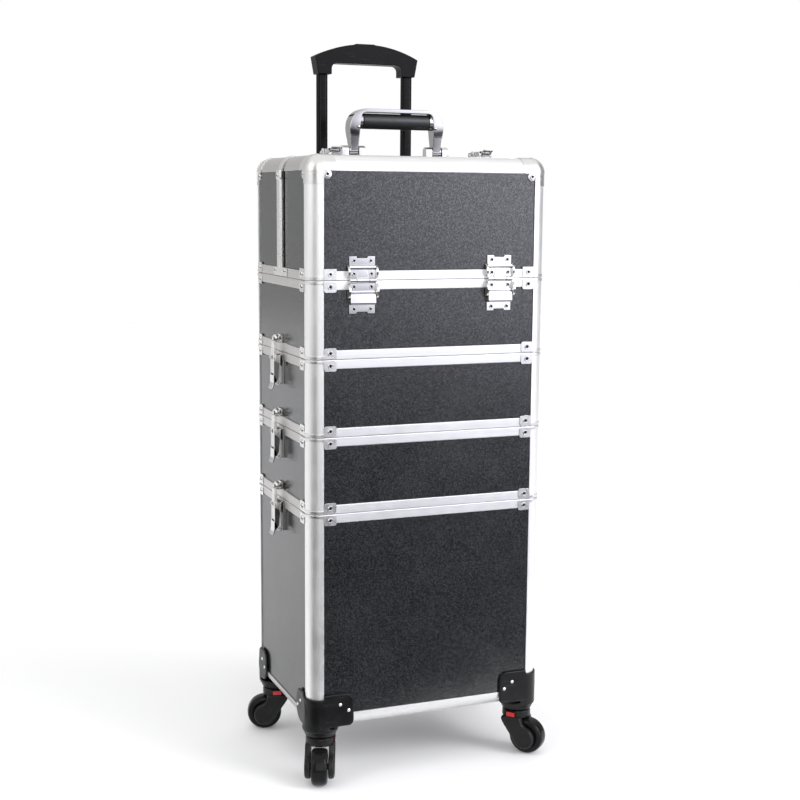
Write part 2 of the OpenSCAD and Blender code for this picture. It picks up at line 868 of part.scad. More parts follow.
// Chrome bail: a deep strap over the grip, legs that narrow to the pivots, and the grip's core rod
module carry_bail() {
  bend_r = 20;
  inside_r = 4;
  shoulder = bail_pivot_z + 15;
  inner = bail_half - leg_t;
  top = zt + bail_h;
  color("gainsboro") difference() {
    union() {
      along_y(bail_y - bail_d / 2, bail_d) difference() {
        arch(bail_half, top, bend_r, shoulder);
        arch(inner, top - strap_t, inside_r, shoulder - 1);
      }
      for (m = [0, 1])
        mirror([m, 0, 0]) {
          rod_x(leg_d / 2, inner, bail_half, bail_y, bail_pivot_z);
          span([inner, bail_y - leg_d / 2, bail_pivot_z], [bail_half, bail_y + leg_d / 2, shoulder + 1]);
        }
      rod_x(bail_pin_r, -inner - 1, inner + 1, bail_y, grip_z);
    }
    rod_x(bail_pin_r + fit, inner - 1, bail_half + 1, bail_y, bail_pivot_z);
    rod_x(bail_pin_r + fit, -bail_half - 1, 1 - inner, bail_y, bail_pivot_z);
  }
}

module carry_grip() {
  color("black") difference() {
    rod_x(grip_d / 2, -grip_l / 2, grip_l / 2, bail_y, grip_z);
    rod_x(bail_pin_r + fit, -grip_l, grip_l, bail_y, grip_z);
  }
}

// Upright bar of rounded section on a trolley tube's middle
module tube_bar(x, w, d, r, z_lo, z_hi) {
  translate([x, tube_y, z_lo]) linear_extrude(z_hi - z_lo) {
    square([w - 2 * r, d], center = true);
    square([w, d - 2 * r], center = true);
    for (sx = [-1, 1], sy = [-1, 1])
      translate([sx * (w / 2 - r), sy * (d / 2 - r)]) circle(r);
  }
}

module trolley_outer_tubes() {
  color("black")
    for (x = [-tube_x, tube_x])
      difference() {
        tube_bar(x, tube_w, tube_d, tube_r, tube_bottom, tube_top);
        tube_bar(x, tube_w - 2 * tube_t, tube_d - 2 * tube_t, tube_r - tube_t, tube_bottom + 3, tube_top + 1);
      }
}

// Two straps that hold the outer tubes on the rear wall
module trolley_brackets() {
  half = tube_x + tube_w / 2 + 7;
  y_out = tube_y + tube_d / 2 + bracket_t;
  color("black")
    for (z = [tube_bottom + 12, tube_top - bracket_h - 4])
      difference() {
        span([-half, hd + skin, z], [half, y_out, z + bracket_h]);
        for (x = [-tube_x, tube_x])
          tube_bar(x, tube_w + 2 * skin, tube_d + 0.3, tube_r, z - 1, z + bracket_h + 1);
        bay = tube_x - tube_w / 2 - 6;
        span([-bay, hd, z - 1], [bay, y_out - bracket_t, z + bracket_h + 1]);
      }
}

module trolley_inner_tubes() {
  wall = 1.5;
  color("black")
    for (x = [-tube_x, tube_x])
      difference() {
        tube_bar(x, inner_w, inner_d, inner_r, inner_bottom, socket_z);
        tube_bar(x, inner_w - 2 * wall, inner_d - 2 * wall, inner_r - wall, inner_bottom - 1, socket_z - 10);
      }
}

pull_top = pull_z + pull_edge + pull_rise;
socket_in = 2 * tube_x - pull_half + 2;
fillet_r = 8;

// Arched trolley grip with a socket over each tube and a pocket for the button
module trolley_grip() {
  arc_r = (pull_half * pull_half + pull_rise * pull_rise) / (2 * pull_rise);
  room = 0.6;
  color("black") difference() {
    along_y(tube_y - pull_thick / 2, pull_thick) {
      intersection() {
        translate([0, pull_top - arc_r]) circle(arc_r, $fn = 180);
        translate([-pull_half, pull_z]) square([2 * pull_half, 2 * pull_rise]);
      }
      for (m = [0, 1])
        mirror([m, 0]) {
          translate([socket_in, socket_z]) square([pull_half - socket_in, pull_z - socket_z + 1]);
          difference() {
            translate([socket_in - fillet_r, pull_z - fillet_r]) square(fillet_r + 0.5);
            translate([socket_in - fillet_r, pull_z - fillet_r]) circle(fillet_r);
          }
        }
    }
    span([-(push_w + room) / 2, tube_y - (push_d + room) / 2, pull_top - push_h - push_travel],
         [(push_w + room) / 2, tube_y + (push_d + room) / 2, pull_top + 1]);
  }
}

module trolley_button() {
  z_hi = pull_top + push_proud;
  color("black")
    span([-push_w / 2, tube_y - push_d / 2, z_hi - push_h], [push_w / 2, tube_y + push_d / 2, z_hi]);
}

// Caster place: local x points from the swivel to the wheel
module at_caster(c) {
  translate([c[0] * swivel_x, c[1] * swivel_y, 0]) rotate(c[2]) children();
}

cheek_r = 16;

// Bar of a release button, or of its slot, from deep in the crown out to one side
module button_bar(c, deep, proud, gap) {
  translate([0, c[3] * (deep + crown_r + proud) / 2, button_z])
    cube([button_w + 2 * gap, crown_r + proud - deep, button_h + 2 * gap], center = true);
}

module fork(c) {
  color("black") at_caster(c) difference() {
    union() {
      translate([0, 0, crown_z]) cylinder(r = crown_r, h = fork_top - crown_z);
      translate([0, 0, fork_top - 1]) cylinder(r = stem_r, h = stem_top - fork_top + 1);
      for (m = [0, 1])
        mirror([0, m, 0]) along_y(fork_in, cheek_t) {
          translate([trail, wheel_r]) circle(cheek_r);
          polygon([[3 - crown_r, crown_z + 2], [crown_r - 1, crown_z + 2], [trail - 4, crown_z - 6],
                   [trail + 3, wheel_r + cheek_r - 0.5], [trail, wheel_r], [trail - cheek_r + 1.5, wheel_r - 7]]);
        }
      rod_y(axle_r, -fork_in - cheek_t, fork_in + cheek_t, trail, wheel_r);
    }
    button_bar(c, button_deep - 2.5, crown_r, 0.3);
  }
}

module wheel(c) {
  bore = axle_r + fit;
  r = 5;
  half = wheel_w / 2;
  color("black") at_caster(c) translate([trail, 0, wheel_r]) rotate([90, 0, 0]) rotate_extrude() {
    translate([bore, -half]) square([wheel_r - r - bore, wheel_w]);
    translate([bore, r - half]) square([wheel_r - bore, wheel_w - 2 * r]);
    for (s = [-1, 1])
      translate([wheel_r - r, s * (half - r)]) circle(r);
  }
}

module release_button(c) {
  color("crimson") at_caster(c) button_bar(c, button_deep, 1, 0);
}

bin_panels();
tier_panels();
hood_panels();
hood_lip();
corner_posts();
edge_rails();
joint_bands();
corner_fittings();
hood_strips();
corner_guards();
rivets();
tier_dividers();
latch_bases();
latch_keepers();
hinge_lower_leaves();
handle_feet();
trolley_outer_tubes();
trolley_brackets();
arm_pivots();
lid_panels();
lid_profiles();
lid_corner_fittings();
hinge_upper_leaves();
top_latch_bases();
tray_pivots();
lid_tray();
tray_arms();
carry_bail();
carry_grip();
trolley_inner_tubes();
trolley_grip();
trolley_button();
fork(FL);  // fork_fl
fork(FR);  // fork_fr
fork(RL);  // fork_rl
fork(RR);  // fork_rr
wheel(FL);  // wheel_fl
wheel(FR);  // wheel_fr
wheel(RL);  // wheel_rl
wheel(RR);  // wheel_rr
release_button(FL);  // button_fl
release_button(FR);  // button_fr
release_button(RL);  // button_rl
release_button(RR);  // button_rr
top_lever(-1);  // lever_top_l
top_lever(1);  // lever_top_r
top_claw(-1);  // claw_top_l
top_claw(1);  // claw_top_r
side_lever(-1, z2);  // lever_left_2
side_lever(-1, z3);  // lever_left_3
side_lever(-1, z4);  // lever_left_4
side_lever(1, z2);  // lever_right_2
side_lever(1, z3);  // lever_right_3
side_lever(1, z4);  // lever_right_4
side_claw(-1, z2);  // claw_left_2
side_claw(-1, z3);  // claw_left_3
side_claw(-1, z4);  // claw_left_4
side_claw(1, z2);  // claw_right_2
side_claw(1, z3);  // claw_right_3
side_claw(1, z4);  // claw_right_4
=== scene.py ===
import json
import math

import bmesh
import bpy
from mathutils import Matrix, Vector


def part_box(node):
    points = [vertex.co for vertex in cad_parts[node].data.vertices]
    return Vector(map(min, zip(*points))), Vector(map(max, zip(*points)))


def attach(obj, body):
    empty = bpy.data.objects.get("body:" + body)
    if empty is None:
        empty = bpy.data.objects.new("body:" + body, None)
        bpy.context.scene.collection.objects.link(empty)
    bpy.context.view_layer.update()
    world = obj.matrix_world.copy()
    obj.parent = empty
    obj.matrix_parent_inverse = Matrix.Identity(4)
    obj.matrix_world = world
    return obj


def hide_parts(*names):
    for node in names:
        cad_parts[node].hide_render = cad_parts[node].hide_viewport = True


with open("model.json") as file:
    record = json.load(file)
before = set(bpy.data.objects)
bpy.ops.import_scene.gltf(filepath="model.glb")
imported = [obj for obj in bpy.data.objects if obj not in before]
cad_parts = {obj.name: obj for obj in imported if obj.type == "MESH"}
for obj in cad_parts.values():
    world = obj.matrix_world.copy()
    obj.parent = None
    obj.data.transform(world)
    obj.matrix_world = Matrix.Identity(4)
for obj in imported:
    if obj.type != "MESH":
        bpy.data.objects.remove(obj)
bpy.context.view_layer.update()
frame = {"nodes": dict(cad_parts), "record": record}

MM = 0.001

# Outer faces of the case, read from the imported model
_, posts_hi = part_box("corner_posts")
rails_lo, rails_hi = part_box("edge_rails")
HALF_W = posts_hi[0]
HALF_D = posts_hi[1]
CASE_FLOOR = rails_lo[2]
CASE_TOP = rails_hi[2]
# Radius of the posts and rails, and the top of the corner guards above the case's floor
EDGE_R = 20 * MM
GUARD_TOP = 49 * MM
# Panels lie this far behind the profiles, in mm
REVEAL = 1.5
# The parting under the lid, a corner plate's middle above it, its rivet's way in and its thickness
LID_PARTING = 678 * MM
PLATE_MID = 8.2 * MM
PLATE_RIVET = 28.5 * MM
PLATE_T = 0.95 * MM
# Middle of the hood's edge strips from front to back
STRIP_MIDDLE = -4 * MM
# Size of the top latches against the side latches
TOP_LATCH_SCALE = 0.85
# Edges sharper than this are rounded, and those sharper than the second stay sharp in the shading, in degrees
ROUND_ANGLE = 35.0
SHARP_ANGLE = 40.0

# Node helpers


def put(tree, kind, feeds=None, **settings):
    """Adds a node, sets its properties and feeds its inputs with values or sockets."""
    node = tree.nodes.new(kind)
    for key, value in settings.items():
        setattr(node, key, value)
    for key, value in (feeds or {}).items():
        if isinstance(value, bpy.types.NodeSocket):
            tree.links.new(value, node.inputs[key])
        else:
            node.inputs[key].default_value = value
    return node


def math_node(tree, operation, a, b):
    return put(tree, "ShaderNodeMath", {0: a, 1: b}, operation=operation).outputs[0]


def scaled(tree, value, factor):
    return math_node(tree, "MULTIPLY", value, factor)


def spread(tree, value, from_lo, from_hi, to_lo=0.0, to_hi=1.0):
    """Maps a value from one range to another, held at the ends."""
    feeds = {"Value": value, "From Min": from_lo, "From Max": from_hi, "To Min": to_lo, "To Max": to_hi}
    return put(tree, "ShaderNodeMapRange", feeds, clamp=True).outputs["Result"]


def noise(tree, vector, scale, detail=3.0, roughness=0.5):
    feeds = {"Vector": vector, "Scale": scale, "Detail": detail, "Roughness": roughness}
    return put(tree, "ShaderNodeTexNoise", feeds).outputs["Fac"]


def blend_colours(tree, mask, dark, light):
    feeds = {"Factor": mask, "A": dark, "B": light}
    node = put(tree, "ShaderNodeMix", data_type="RGBA")
    for key, value in feeds.items():
        socket = next(s for s in node.inputs if s.name == key and (s.type == "RGBA" or key == "Factor"))
        if isinstance(value, bpy.types.NodeSocket):
            tree.links.new(value, socket)
        else:
            socket.default_value = value
    return next(s for s in node.outputs if s.type == "RGBA")


def grey(level, warmth=0.0):
    return (level * (1 + warmth), level, level * (1 - warmth), 1.0)


def new_group(name, inputs, outputs):
    """An empty shader node group with named sockets, and its input and output nodes."""
    tree = bpy.data.node_groups.new(name, "ShaderNodeTree")
    for socket, default in inputs.items():
        kind = "NodeSocketVector" if default is None or isinstance(default, tuple) else "NodeSocketFloat"
        made = tree.interface.new_socket(socket, in_out="INPUT", socket_type=kind)
        if default is not None:
            made.default_value = default
    for socket in outputs:
        tree.interface.new_socket(socket, in_out="OUTPUT", socket_type="NodeSocketFloat")
    return tree, tree.nodes.new("NodeGroupInput").outputs, tree.nodes.new("NodeGroupOutput").inputs


# Shared effects


def make_pebble_group():
    """Fine pebbled skin of pressed laminate and moulded plastic: its height, and a painted highlight on its
    highest grains.
    """
    tree, given, out = new_group("pebble", {"Vector": None, "Scale": 900.0}, ("Height", "PaintedGlints", "Cloud"))
    feeds = {"Vector": given["Vector"], "Scale": given["Scale"], "Randomness": 1.0}
    cells = put(tree, "ShaderNodeTexVoronoi", feeds, feature="F1").outputs["Distance"]
    dome = spread(tree, cells, 0.0, 0.75, 1.0, 0.0)
    coarse = noise(tree, given["Vector"], scaled(tree, given["Scale"], 0.42), 2.0)
    height = math_node(tree, "ADD", scaled(tree, dome, 0.65), scaled(tree, coarse, 0.5))
    tree.links.new(height, out["Height"])
    # Painted highlight: the highest grains, in patches, made lighter where light would catch them
    painted_glints = scaled(tree, spread(tree, dome, 0.72, 0.95), spread(tree, coarse, 0.46, 0.68))
    tree.links.new(painted_glints, out["PaintedGlints"])
    cloud = noise(tree, given["Vector"], scaled(tree, given["Scale"], 0.02), 3.0)
    tree.links.new(spread(tree, cloud, 0.3, 0.7), out["Cloud"])
    return tree


def make_drawn_group():
    """Fine lines of a drawn or brushed metal: stretch the pattern along the work by a small factor."""
    inputs = {"Vector": None, "Stretch": (1.0, 1.0, 1.0)}
    tree, given, out = new_group("drawn_lines", inputs, ("Lines", "Cloud"))
    feeds = {0: given["Vector"], 1: given["Stretch"]}
    along = put(tree, "ShaderNodeVectorMath", feeds, operation="MULTIPLY").outputs[0]
    fine = noise(tree, along, 2600.0, 2.0, 0.6)
    broad = noise(tree, along, 420.0, 2.0, 0.5)
    lines = math_node(tree, "ADD", scaled(tree, fine, 0.6), scaled(tree, broad, 0.4))
    tree.links.new(spread(tree, lines, 0.28, 0.72), out["Lines"])
    tree.links.new(spread(tree, noise(tree, given["Vector"], 14.0, 4.0), 0.3, 0.7), out["Cloud"])
    return tree


def make_handling_group():
    """Marks of use: broad smudges, and hairline scratches in two directions."""
    tree, given, out = new_group("handling", {"Vector": None, "Scale": 1.0}, ("Smudge", "Scratch"))
    feeds = {0: given["Vector"], "Scale": given["Scale"]}
    sized = put(tree, "ShaderNodeVectorMath", feeds, operation="SCALE").outputs[0]
    patches = noise(tree, sized, 55.0, 5.0, 0.62)
    tree.links.new(spread(tree, patches, 0.42, 0.72), out["Smudge"])
    lines = None
    for turn in (0.6, -1.1):
        feeds = {"Vector": sized, "Rotation": (turn, turn * 0.7, turn * 1.3), "Scale": (30.0, 900.0, 900.0)}
        turned_to = put(tree, "ShaderNodeMapping", feeds).outputs[0]
        line = spread(tree, noise(tree, turned_to, 1.0, 1.0), 0.69, 0.74)
        lines = line if lines is None else math_node(tree, "MAXIMUM", lines, line)
    tree.links.new(scaled(tree, lines, spread(tree, patches, 0.4, 0.6)), out["Scratch"])
    return tree


def make_dust_group():
    """Light dust that settles on upward faces, thicker in patches."""
    tree, given, out = new_group("settled_dust", {"Vector": None}, ("Mask",))
    normal = put(tree, "ShaderNodeNewGeometry").outputs["Normal"]
    up = put(tree, "ShaderNodeSeparateXYZ", {0: normal}).outputs["Z"]
    patches = spread(tree, noise(tree, given["Vector"], 38.0, 6.0, 0.65), 0.35, 0.75)
    tree.links.new(scaled(tree, spread(tree, up, 0.3, 1.0), patches), out["Mask"])
    return tree


PEBBLE = make_pebble_group()
DRAWN = make_drawn_group()
HANDLING = make_handling_group()
DUST = make_dust_group()


class Finish:
    """A material in the making: its shader, the object coordinates and the shared effects."""

    def __init__(self, name, **constants):
        self.material = bpy.data.materials.new(name)
        self.material.use_nodes = True
        self.tree = self.material.node_tree
        self.shader = self.tree.nodes["Principled BSDF"]
        for socket, value in constants.items():
            self.shader.inputs[socket.replace("_", " ").title().replace("Ior", "IOR")].default_value = value
        self.place = put(self.tree, "ShaderNodeTexCoord").outputs["Object"]

    def effect(self, group, **feeds):
        node = put(self.tree, "ShaderNodeGroup", node_tree=group)
        self.tree.links.new(self.place, node.inputs["Vector"])
        for key, value in feeds.items():
            node.inputs[key].default_value = value
        return node.outputs

    def feed(self, socket, value):
        self.tree.links.new(value, self.shader.inputs[socket])

    def bump(self, height, distance, strength):
        feeds = {"Height": height, "Distance": distance, "Strength": strength}
        return put(self.tree, "ShaderNodeBump", feeds).outputs["Normal"]


def laminate_finish():
    """Black pebbled laminate: a painted highlight on the grain's highest points, specks that shine more, a
    little dust, scuffs from use.
    """
    f = Finish("black_laminate", metallic=0.0, ior=1.72)
    t = f.tree
    skin = f.effect(PEBBLE, Scale=760.0)
    use = f.effect(HANDLING)
    dust = f.effect(DUST)
    base = blend_colours(t, skin["Cloud"], grey(0.0035, -0.06), grey(0.0075, -0.04))
    # Painted highlight: the grain's highest points blended lighter into the colour
    base = blend_colours(t, scaled(t, skin["PaintedGlints"], 0.8), base, grey(0.06, -0.05))
    speck = spread(t, noise(t, f.place, 620.0, 2.0, 0.6), 0.42, 0.68)
    base = blend_colours(t, speck, base, grey(0.034, -0.08))
    base = blend_colours(t, scaled(t, use["Scratch"], 0.02), base, grey(0.11))
    base = blend_colours(t, scaled(t, dust["Mask"], 0.02), base, grey(0.35, 0.04))
    f.feed("Base Color", base)
    f.feed("Specular IOR Level", spread(t, speck, 0.0, 1.0, 0.38, 0.7))
    rough = spread(t, skin["Cloud"], 0.0, 1.0, 0.17, 0.22)
    f.feed("Roughness", math_node(t, "ADD", rough, scaled(t, use["Smudge"], 0.02)))
    f.feed("Normal", f.bump(skin["Height"], 0.1 * MM, 0.2))
    return f.material


def aluminium_finish(name, stretch, level, tint=0.0):
    """Satin drawn aluminium, its lines along the profile."""
    f = Finish(name, metallic=1.0)
    t = f.tree
    drawn = f.effect(DRAWN, Stretch=stretch)
    use = f.effect(HANDLING)
    base = blend_colours(t, drawn["Lines"], grey(level * 0.94, tint), grey(level * 1.05, tint))
    base = blend_colours(t, scaled(t, use["Scratch"], 0.3), base, grey(level * 0.6))
    f.feed("Base Color", base)
    fine = spread(t, drawn["Lines"], 0.0, 1.0, 0.33, 0.44)
    fine = math_node(t, "ADD", fine, scaled(t, drawn["Cloud"], 0.05))
    f.feed("Roughness", math_node(t, "ADD", fine, scaled(t, use["Smudge"], 0.08)))
    f.feed("Normal", f.bump(drawn["Lines"], 0.02 * MM, 0.35))
    return f.material


def plated_finish(name, level, rough):
    """Bright nickel plate with smudges and hairlines."""
    f = Finish(name, metallic=1.0)
    t = f.tree
    use = f.effect(HANDLING, Scale=1.6)
    drawn = f.effect(DRAWN, Stretch=(0.5, 0.5, 0.5))
    base = blend_colours(t, drawn["Cloud"], grey(level * 0.94, 0.012), grey(level * 1.06, 0.004))
    base = blend_colours(t, scaled(t, use["Scratch"], 0.25), base, grey(0.42))
    f.feed("Base Color", base)
    f.feed("Roughness", spread(t, use["Smudge"], 0.0, 1.0, rough, rough + 0.13))
    f.feed("Normal", f.bump(drawn["Cloud"], 0.05 * MM, 0.25))
    return f.material


def plastic_finish(name, level, rough, grain, depth, dusty=0.012, ior=1.33):
    """Black moulded plastic with a fine grain, rubbed lighter in places."""
    f = Finish(name, metallic=0.0, ior=ior)
    t = f.tree
    skin = f.effect(PEBBLE, Scale=grain)
    use = f.effect(HANDLING)
    dust = f.effect(DUST)
    base = blend_colours(t, skin["Cloud"], grey(level, -0.04), grey(level * 1.7, -0.03))
    base = blend_colours(t, scaled(t, use["Scratch"], 0.3), base, grey(0.12))
    base = blend_colours(t, scaled(t, dust["Mask"], dusty), base, grey(0.4, 0.04))
    f.feed("Base Color", base)
    f.feed("Roughness", spread(t, use["Smudge"], 0.0, 1.0, rough - 0.06, rough + 0.08))
    f.feed("Normal", f.bump(skin["Height"], depth, 0.5))
    return f.material


def red_finish():
    """Red moulded plastic of the release buttons, worn paler where feet press it."""
    f = Finish("red_button", metallic=0.0)
    t = f.tree
    skin = f.effect(PEBBLE, Scale=1500.0)
    use = f.effect(HANDLING, Scale=2.0)
    base = blend_colours(t, skin["Cloud"], (0.42, 0.012, 0.016, 1.0), (0.55, 0.022, 0.024, 1.0))
    base = blend_colours(t, scaled(t, use["Scratch"], 0.5), base, (0.62, 0.2, 0.18, 1.0))
    f.feed("Base Color", base)
    f.feed("Roughness", spread(t, use["Smudge"], 0.0, 1.0, 0.3, 0.48))
    f.feed("Normal", f.bump(skin["Height"], 0.04 * MM, 0.4))
    return f.material


def velvet_finish():
    """Flocked lining of the panels, the tray and the dividers: short pile with brushed patches."""
    f = Finish("flocked_lining", metallic=0.0, sheen_weight=0.5, sheen_roughness=0.45)
    t = f.tree
    pile = f.effect(PEBBLE, Scale=2400.0)
    nap = f.effect(HANDLING, Scale=0.6)
    base = blend_colours(t, pile["Height"], grey(0.006, -0.05), grey(0.02, -0.05))
    f.feed("Base Color", blend_colours(t, scaled(t, nap["Smudge"], 0.6), base, grey(0.03, -0.04)))
    f.feed("Roughness", spread(t, pile["Height"], 0.0, 1.0, 0.85, 0.98))
    f.feed("Normal", f.bump(pile["Height"], 0.25 * MM, 0.6))
    return f.material


LAMINATE = laminate_finish()
ALU_UPRIGHT = aluminium_finish("satin_aluminium_upright", (1.0, 1.0, 0.02), 0.86)
ALU_ACROSS = aluminium_finish("satin_aluminium_across", (0.02, 1.0, 1.0), 0.82)
# Darker and a little warm: painted shade on the profile faces along the case's sides, their lines front to
# back
ALU_SIDE_SHADED = aluminium_finish("satin_aluminium_side_shaded", (1.0, 0.02, 1.0), 0.58, 0.02)
NICKEL = plated_finish("bright_nickel", 0.68, 0.06)
NICKEL_SOFT = plated_finish("worn_nickel", 0.76, 0.26)
NICKEL_CAST = plated_finish("cast_nickel", 0.72, 0.34)
BAIL_CHROME = plated_finish("bail_chrome", 0.44, 0.05)
GUARD_PLASTIC = plastic_finish("guard_plastic", 0.004, 0.34, 1400.0, 0.03 * MM)
GRIP_PLASTIC = plastic_finish("grip_plastic", 0.003, 0.42, 1100.0, 0.06 * MM, ior=1.22)
GRIP_LEATHER = plastic_finish("grip_leather", 0.016, 0.4, 700.0, 0.1 * MM, ior=1.5)
WHEEL_PLASTIC = plastic_finish("wheel_plastic", 0.004, 0.2, 600.0, 0.02 * MM, ior=1.25)
TUBE_BLACK = plastic_finish("black_anodised_tube", 0.003, 0.26, 2200.0, 0.015 * MM, ior=1.22)
# Near-black in hollows: painted shade inside hollow rivets, the claw's hole and slot, and the casters' button
# windows
HOLE_SHADE = plastic_finish("painted_hole_shade", 0.002, 0.6, 1800.0, 0.02 * MM, dusty=0.0)
LIP_RUBBER = plastic_finish("lip_rubber", 0.006, 0.62, 1800.0, 0.05 * MM)
RED = red_finish()
VELVET = velvet_finish()

# Mesh helpers


def fresh(shape):
    """Closes a shaped mesh: doubles merged, faces pointing outwards."""
    bmesh.ops.remove_doubles(shape, verts=shape.verts, dist=0.002 * MM)
    bmesh.ops.recalc_face_normals(shape, faces=shape.faces)
    return shape


def rounded(shape, width, segments=2, pick=None):
    """Rounds every sharp edge, or those of them that pick() takes."""
    least = math.radians(ROUND_ANGLE)
    sharp = [e for e in shape.edges if len(e.link_faces) == 2 and e.calc_face_angle(0) > least]
    if pick:
        sharp = [e for e in sharp if pick(e)]
    bmesh.ops.bevel(shape, geom=sharp, offset=width, offset_type="OFFSET", affect="EDGES", segments=segments,
                    profile=0.5, material=-1, clamp_overlap=True)
    return shape


def finished(name, shape, body, slot, material, nodes, others=(), smooth=SHARP_ANGLE):
    """Turns a shaped mesh into a named piece that rides on a body and stands for the given CAD nodes."""
    mesh = bpy.data.meshes.new(name)
    shape.to_mesh(mesh)
    shape.free()
    for each in (material, *others):
        mesh.materials.append(each)
    mesh.shade_smooth()
    mesh.set_sharp_from_angle(angle=math.radians(smooth))
    piece = bpy.data.objects.new(name, mesh)
    bpy.context.scene.collection.objects.link(piece)
    shading = piece.modifiers.new("even_shading", "WEIGHTED_NORMAL")
    shading.keep_sharp = True
    shading.weight = 90
    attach(piece, body)
    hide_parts(*nodes)
    return piece


def copied(node):
    """A merged copy of a CAD node's mesh, with its flat faces made whole again."""
    shape = bmesh.new()
    shape.from_mesh(frame["nodes"][node].data)
    bmesh.ops.remove_doubles(shape, verts=shape.verts, dist=0.001 * MM)
    bmesh.ops.dissolve_limit(shape, angle_limit=math.radians(1.0), use_dissolve_boundaries=False,
                             verts=shape.verts, edges=shape.edges)
    return shape


def body_holding(node):
    return next(name for name, nodes in frame["record"]["behaviour"]["bodies"].items() if node in nodes)


SLOT_OF = {part["node"]: part["material_slot"] for part in frame["record"]["subparts"]}


def dressed(node, shape, material, others=(), smooth=SHARP_ANGLE):
    """A shaped mesh as the piece that stands for one CAD node."""
    return finished(f"{node}_finish", shape, body_holding(node), SLOT_OF[node], material, [node],
                    others, smooth)


def softened(node, width, material, segments=2):
    """The CAD node's own shape with its sharp edges eased."""
    dressed(node, rounded(copied(node), width, segments), material)


def moulded(node, grain, passes, material, fillets):
    """The CAD node's own shape and some fillets, run together at every edge and corner as in a moulding."""
    rough = bpy.data.meshes.new("moulding")
    shape = joined([copied(node), *fillets])
    shape.to_mesh(rough)
    shape.free()
    blank = bpy.data.objects.new("moulding", rough)
    bpy.context.scene.collection.objects.link(blank)
    skin = blank.modifiers.new("skin", "REMESH")
    skin.mode = "VOXEL"
    skin.voxel_size = grain
    flow = blank.modifiers.new("flow", "SMOOTH")
    flow.factor = 0.5
    flow.iterations = passes
    shape = bmesh.new()
    shape.from_object(blank, bpy.context.evaluated_depsgraph_get())
    bpy.data.objects.remove(blank)
    bpy.data.meshes.remove(rough)
    dressed(node, shape, material, smooth=60.0)


def islands(shape):
    """The separate closed pieces of a mesh, as lists of vertices in a steady order."""
    seen = set()
    for start in shape.verts:
        if start in seen:
            continue
        seen.add(start)
        waiting = [start]
        piece = []
        while waiting:
            vert = waiting.pop()
            piece.append(vert)
            for edge in vert.link_edges:
                other = edge.other_vert(vert)
                if other not in seen:
                    seen.add(other)
                    waiting.append(other)
        yield piece


def corners_of(verts):
    """Low and high corners of the box round some vertices."""
    columns = list(zip(*(v.co for v in verts)))
    return Vector([min(c) for c in columns]), Vector([max(c) for c in columns])


def facing(spot, out):
    """The place of a part that stands on a spot with its own Z along out."""
    return Matrix.Translation(spot) @ Vector(out).to_track_quat("Z", "Y").to_matrix().to_4x4()


def added(shape, part, place):
    """Joins a copy of a finished part into a shape at a place."""
    mesh = bpy.data.meshes.new("part")
    part.to_mesh(mesh)
    mesh.transform(place)
    shape.from_mesh(mesh)
    bpy.data.meshes.remove(mesh)


def in_painted_shade(shape):
    """Gives a whole shape the second material, as painted shade in a slot or recess."""
    for face in shape.faces:
        face.material_index = 1


def turned(profile, steps=16, shade_within=0.0):
    """A lathe form about Z from (radius, height) points in mm, with the second material within a radius, as
    painted shade in a hollow middle.
    """
    shape = bmesh.new()
    line = [shape.verts.new((r * MM, 0.0, h * MM)) for r, h in profile]
    edges = [shape.edges.new(pair) for pair in zip(line, line[1:])]
    bmesh.ops.spin(shape, geom=line + edges, cent=(0, 0, 0), axis=(0, 0, 1), angle=2 * math.pi, steps=steps,
                   use_merge=True, use_duplicate=False)
    fresh(shape)
    for face in shape.faces:
        if face.calc_center_median().xy.length < shade_within * MM:
            face.material_index = 1
    return shape


def bar(lo, hi, width, segments=2):
    """A block between two corners in mm, its edges rounded."""
    shape = bmesh.new()
    bmesh.ops.create_cube(shape, size=1.0)
    lo, hi = Vector(lo) * MM, Vector(hi) * MM
    for v in shape.verts:
        v.co = Vector((lo[i] + (v.co[i] + 0.5) * (hi[i] - lo[i]) for i in range(3)))
    return rounded(shape, width * MM, segments)


def prism(outline, lo, hi, axis):
    """An outline of 2-D points in mm drawn out between two places along X or Y."""
    shape = bmesh.new()
    seat = {"x": lambda a, b, h: (h, a, b), "y": lambda a, b, h: (a, h, b)}[axis]
    ring = [shape.verts.new(Vector(seat(a, b, lo)) * MM) for a, b in outline]
    made = bmesh.ops.extrude_face_region(shape, geom=[shape.faces.new(ring)])
    step = Vector(seat(0, 0, hi - lo)) * MM
    bmesh.ops.translate(shape, verts=[g for g in made["geom"] if isinstance(g, bmesh.types.BMVert)], vec=step)
    return fresh(shape)


def arc(cx, cy, r, start, end, steps):
    """Points on an arc, angles in degrees."""
    turns = [math.radians(start + (end - start) * i / steps) for i in range(steps + 1)]
    return [(cx + r * math.cos(a), cy + r * math.sin(a)) for a in turns]


# The case: panels, profiles, bands and plates


def lined(node):
    """Laminated panels with a soft lining on the faces that look into the case."""
    shape = rounded(copied(node), 0.5 * MM)
    lo, hi = corners_of(shape.verts)
    middle = (lo + hi) / 2
    for face in shape.faces:
        axis = max(range(3), key=lambda i: abs(face.normal[i]))
        off = face.calc_center_median()[axis] - middle[axis]
        face.material_index = 1 if face.normal[axis] * off < 0 else 0
    dressed(node, shape, LAMINATE, [VELVET])


CASTERS = ("fl", "fr", "rl", "rr")
SIDE_LATCHES = [f"{side}_{n}" for side in ("left", "right") for n in (2, 3, 4)]
LATCHES = SIDE_LATCHES + ["top_l", "top_r"]

for node in ("bin_panels", "tier_panels", "hood_panels", "lid_panels"):
    lined(node)
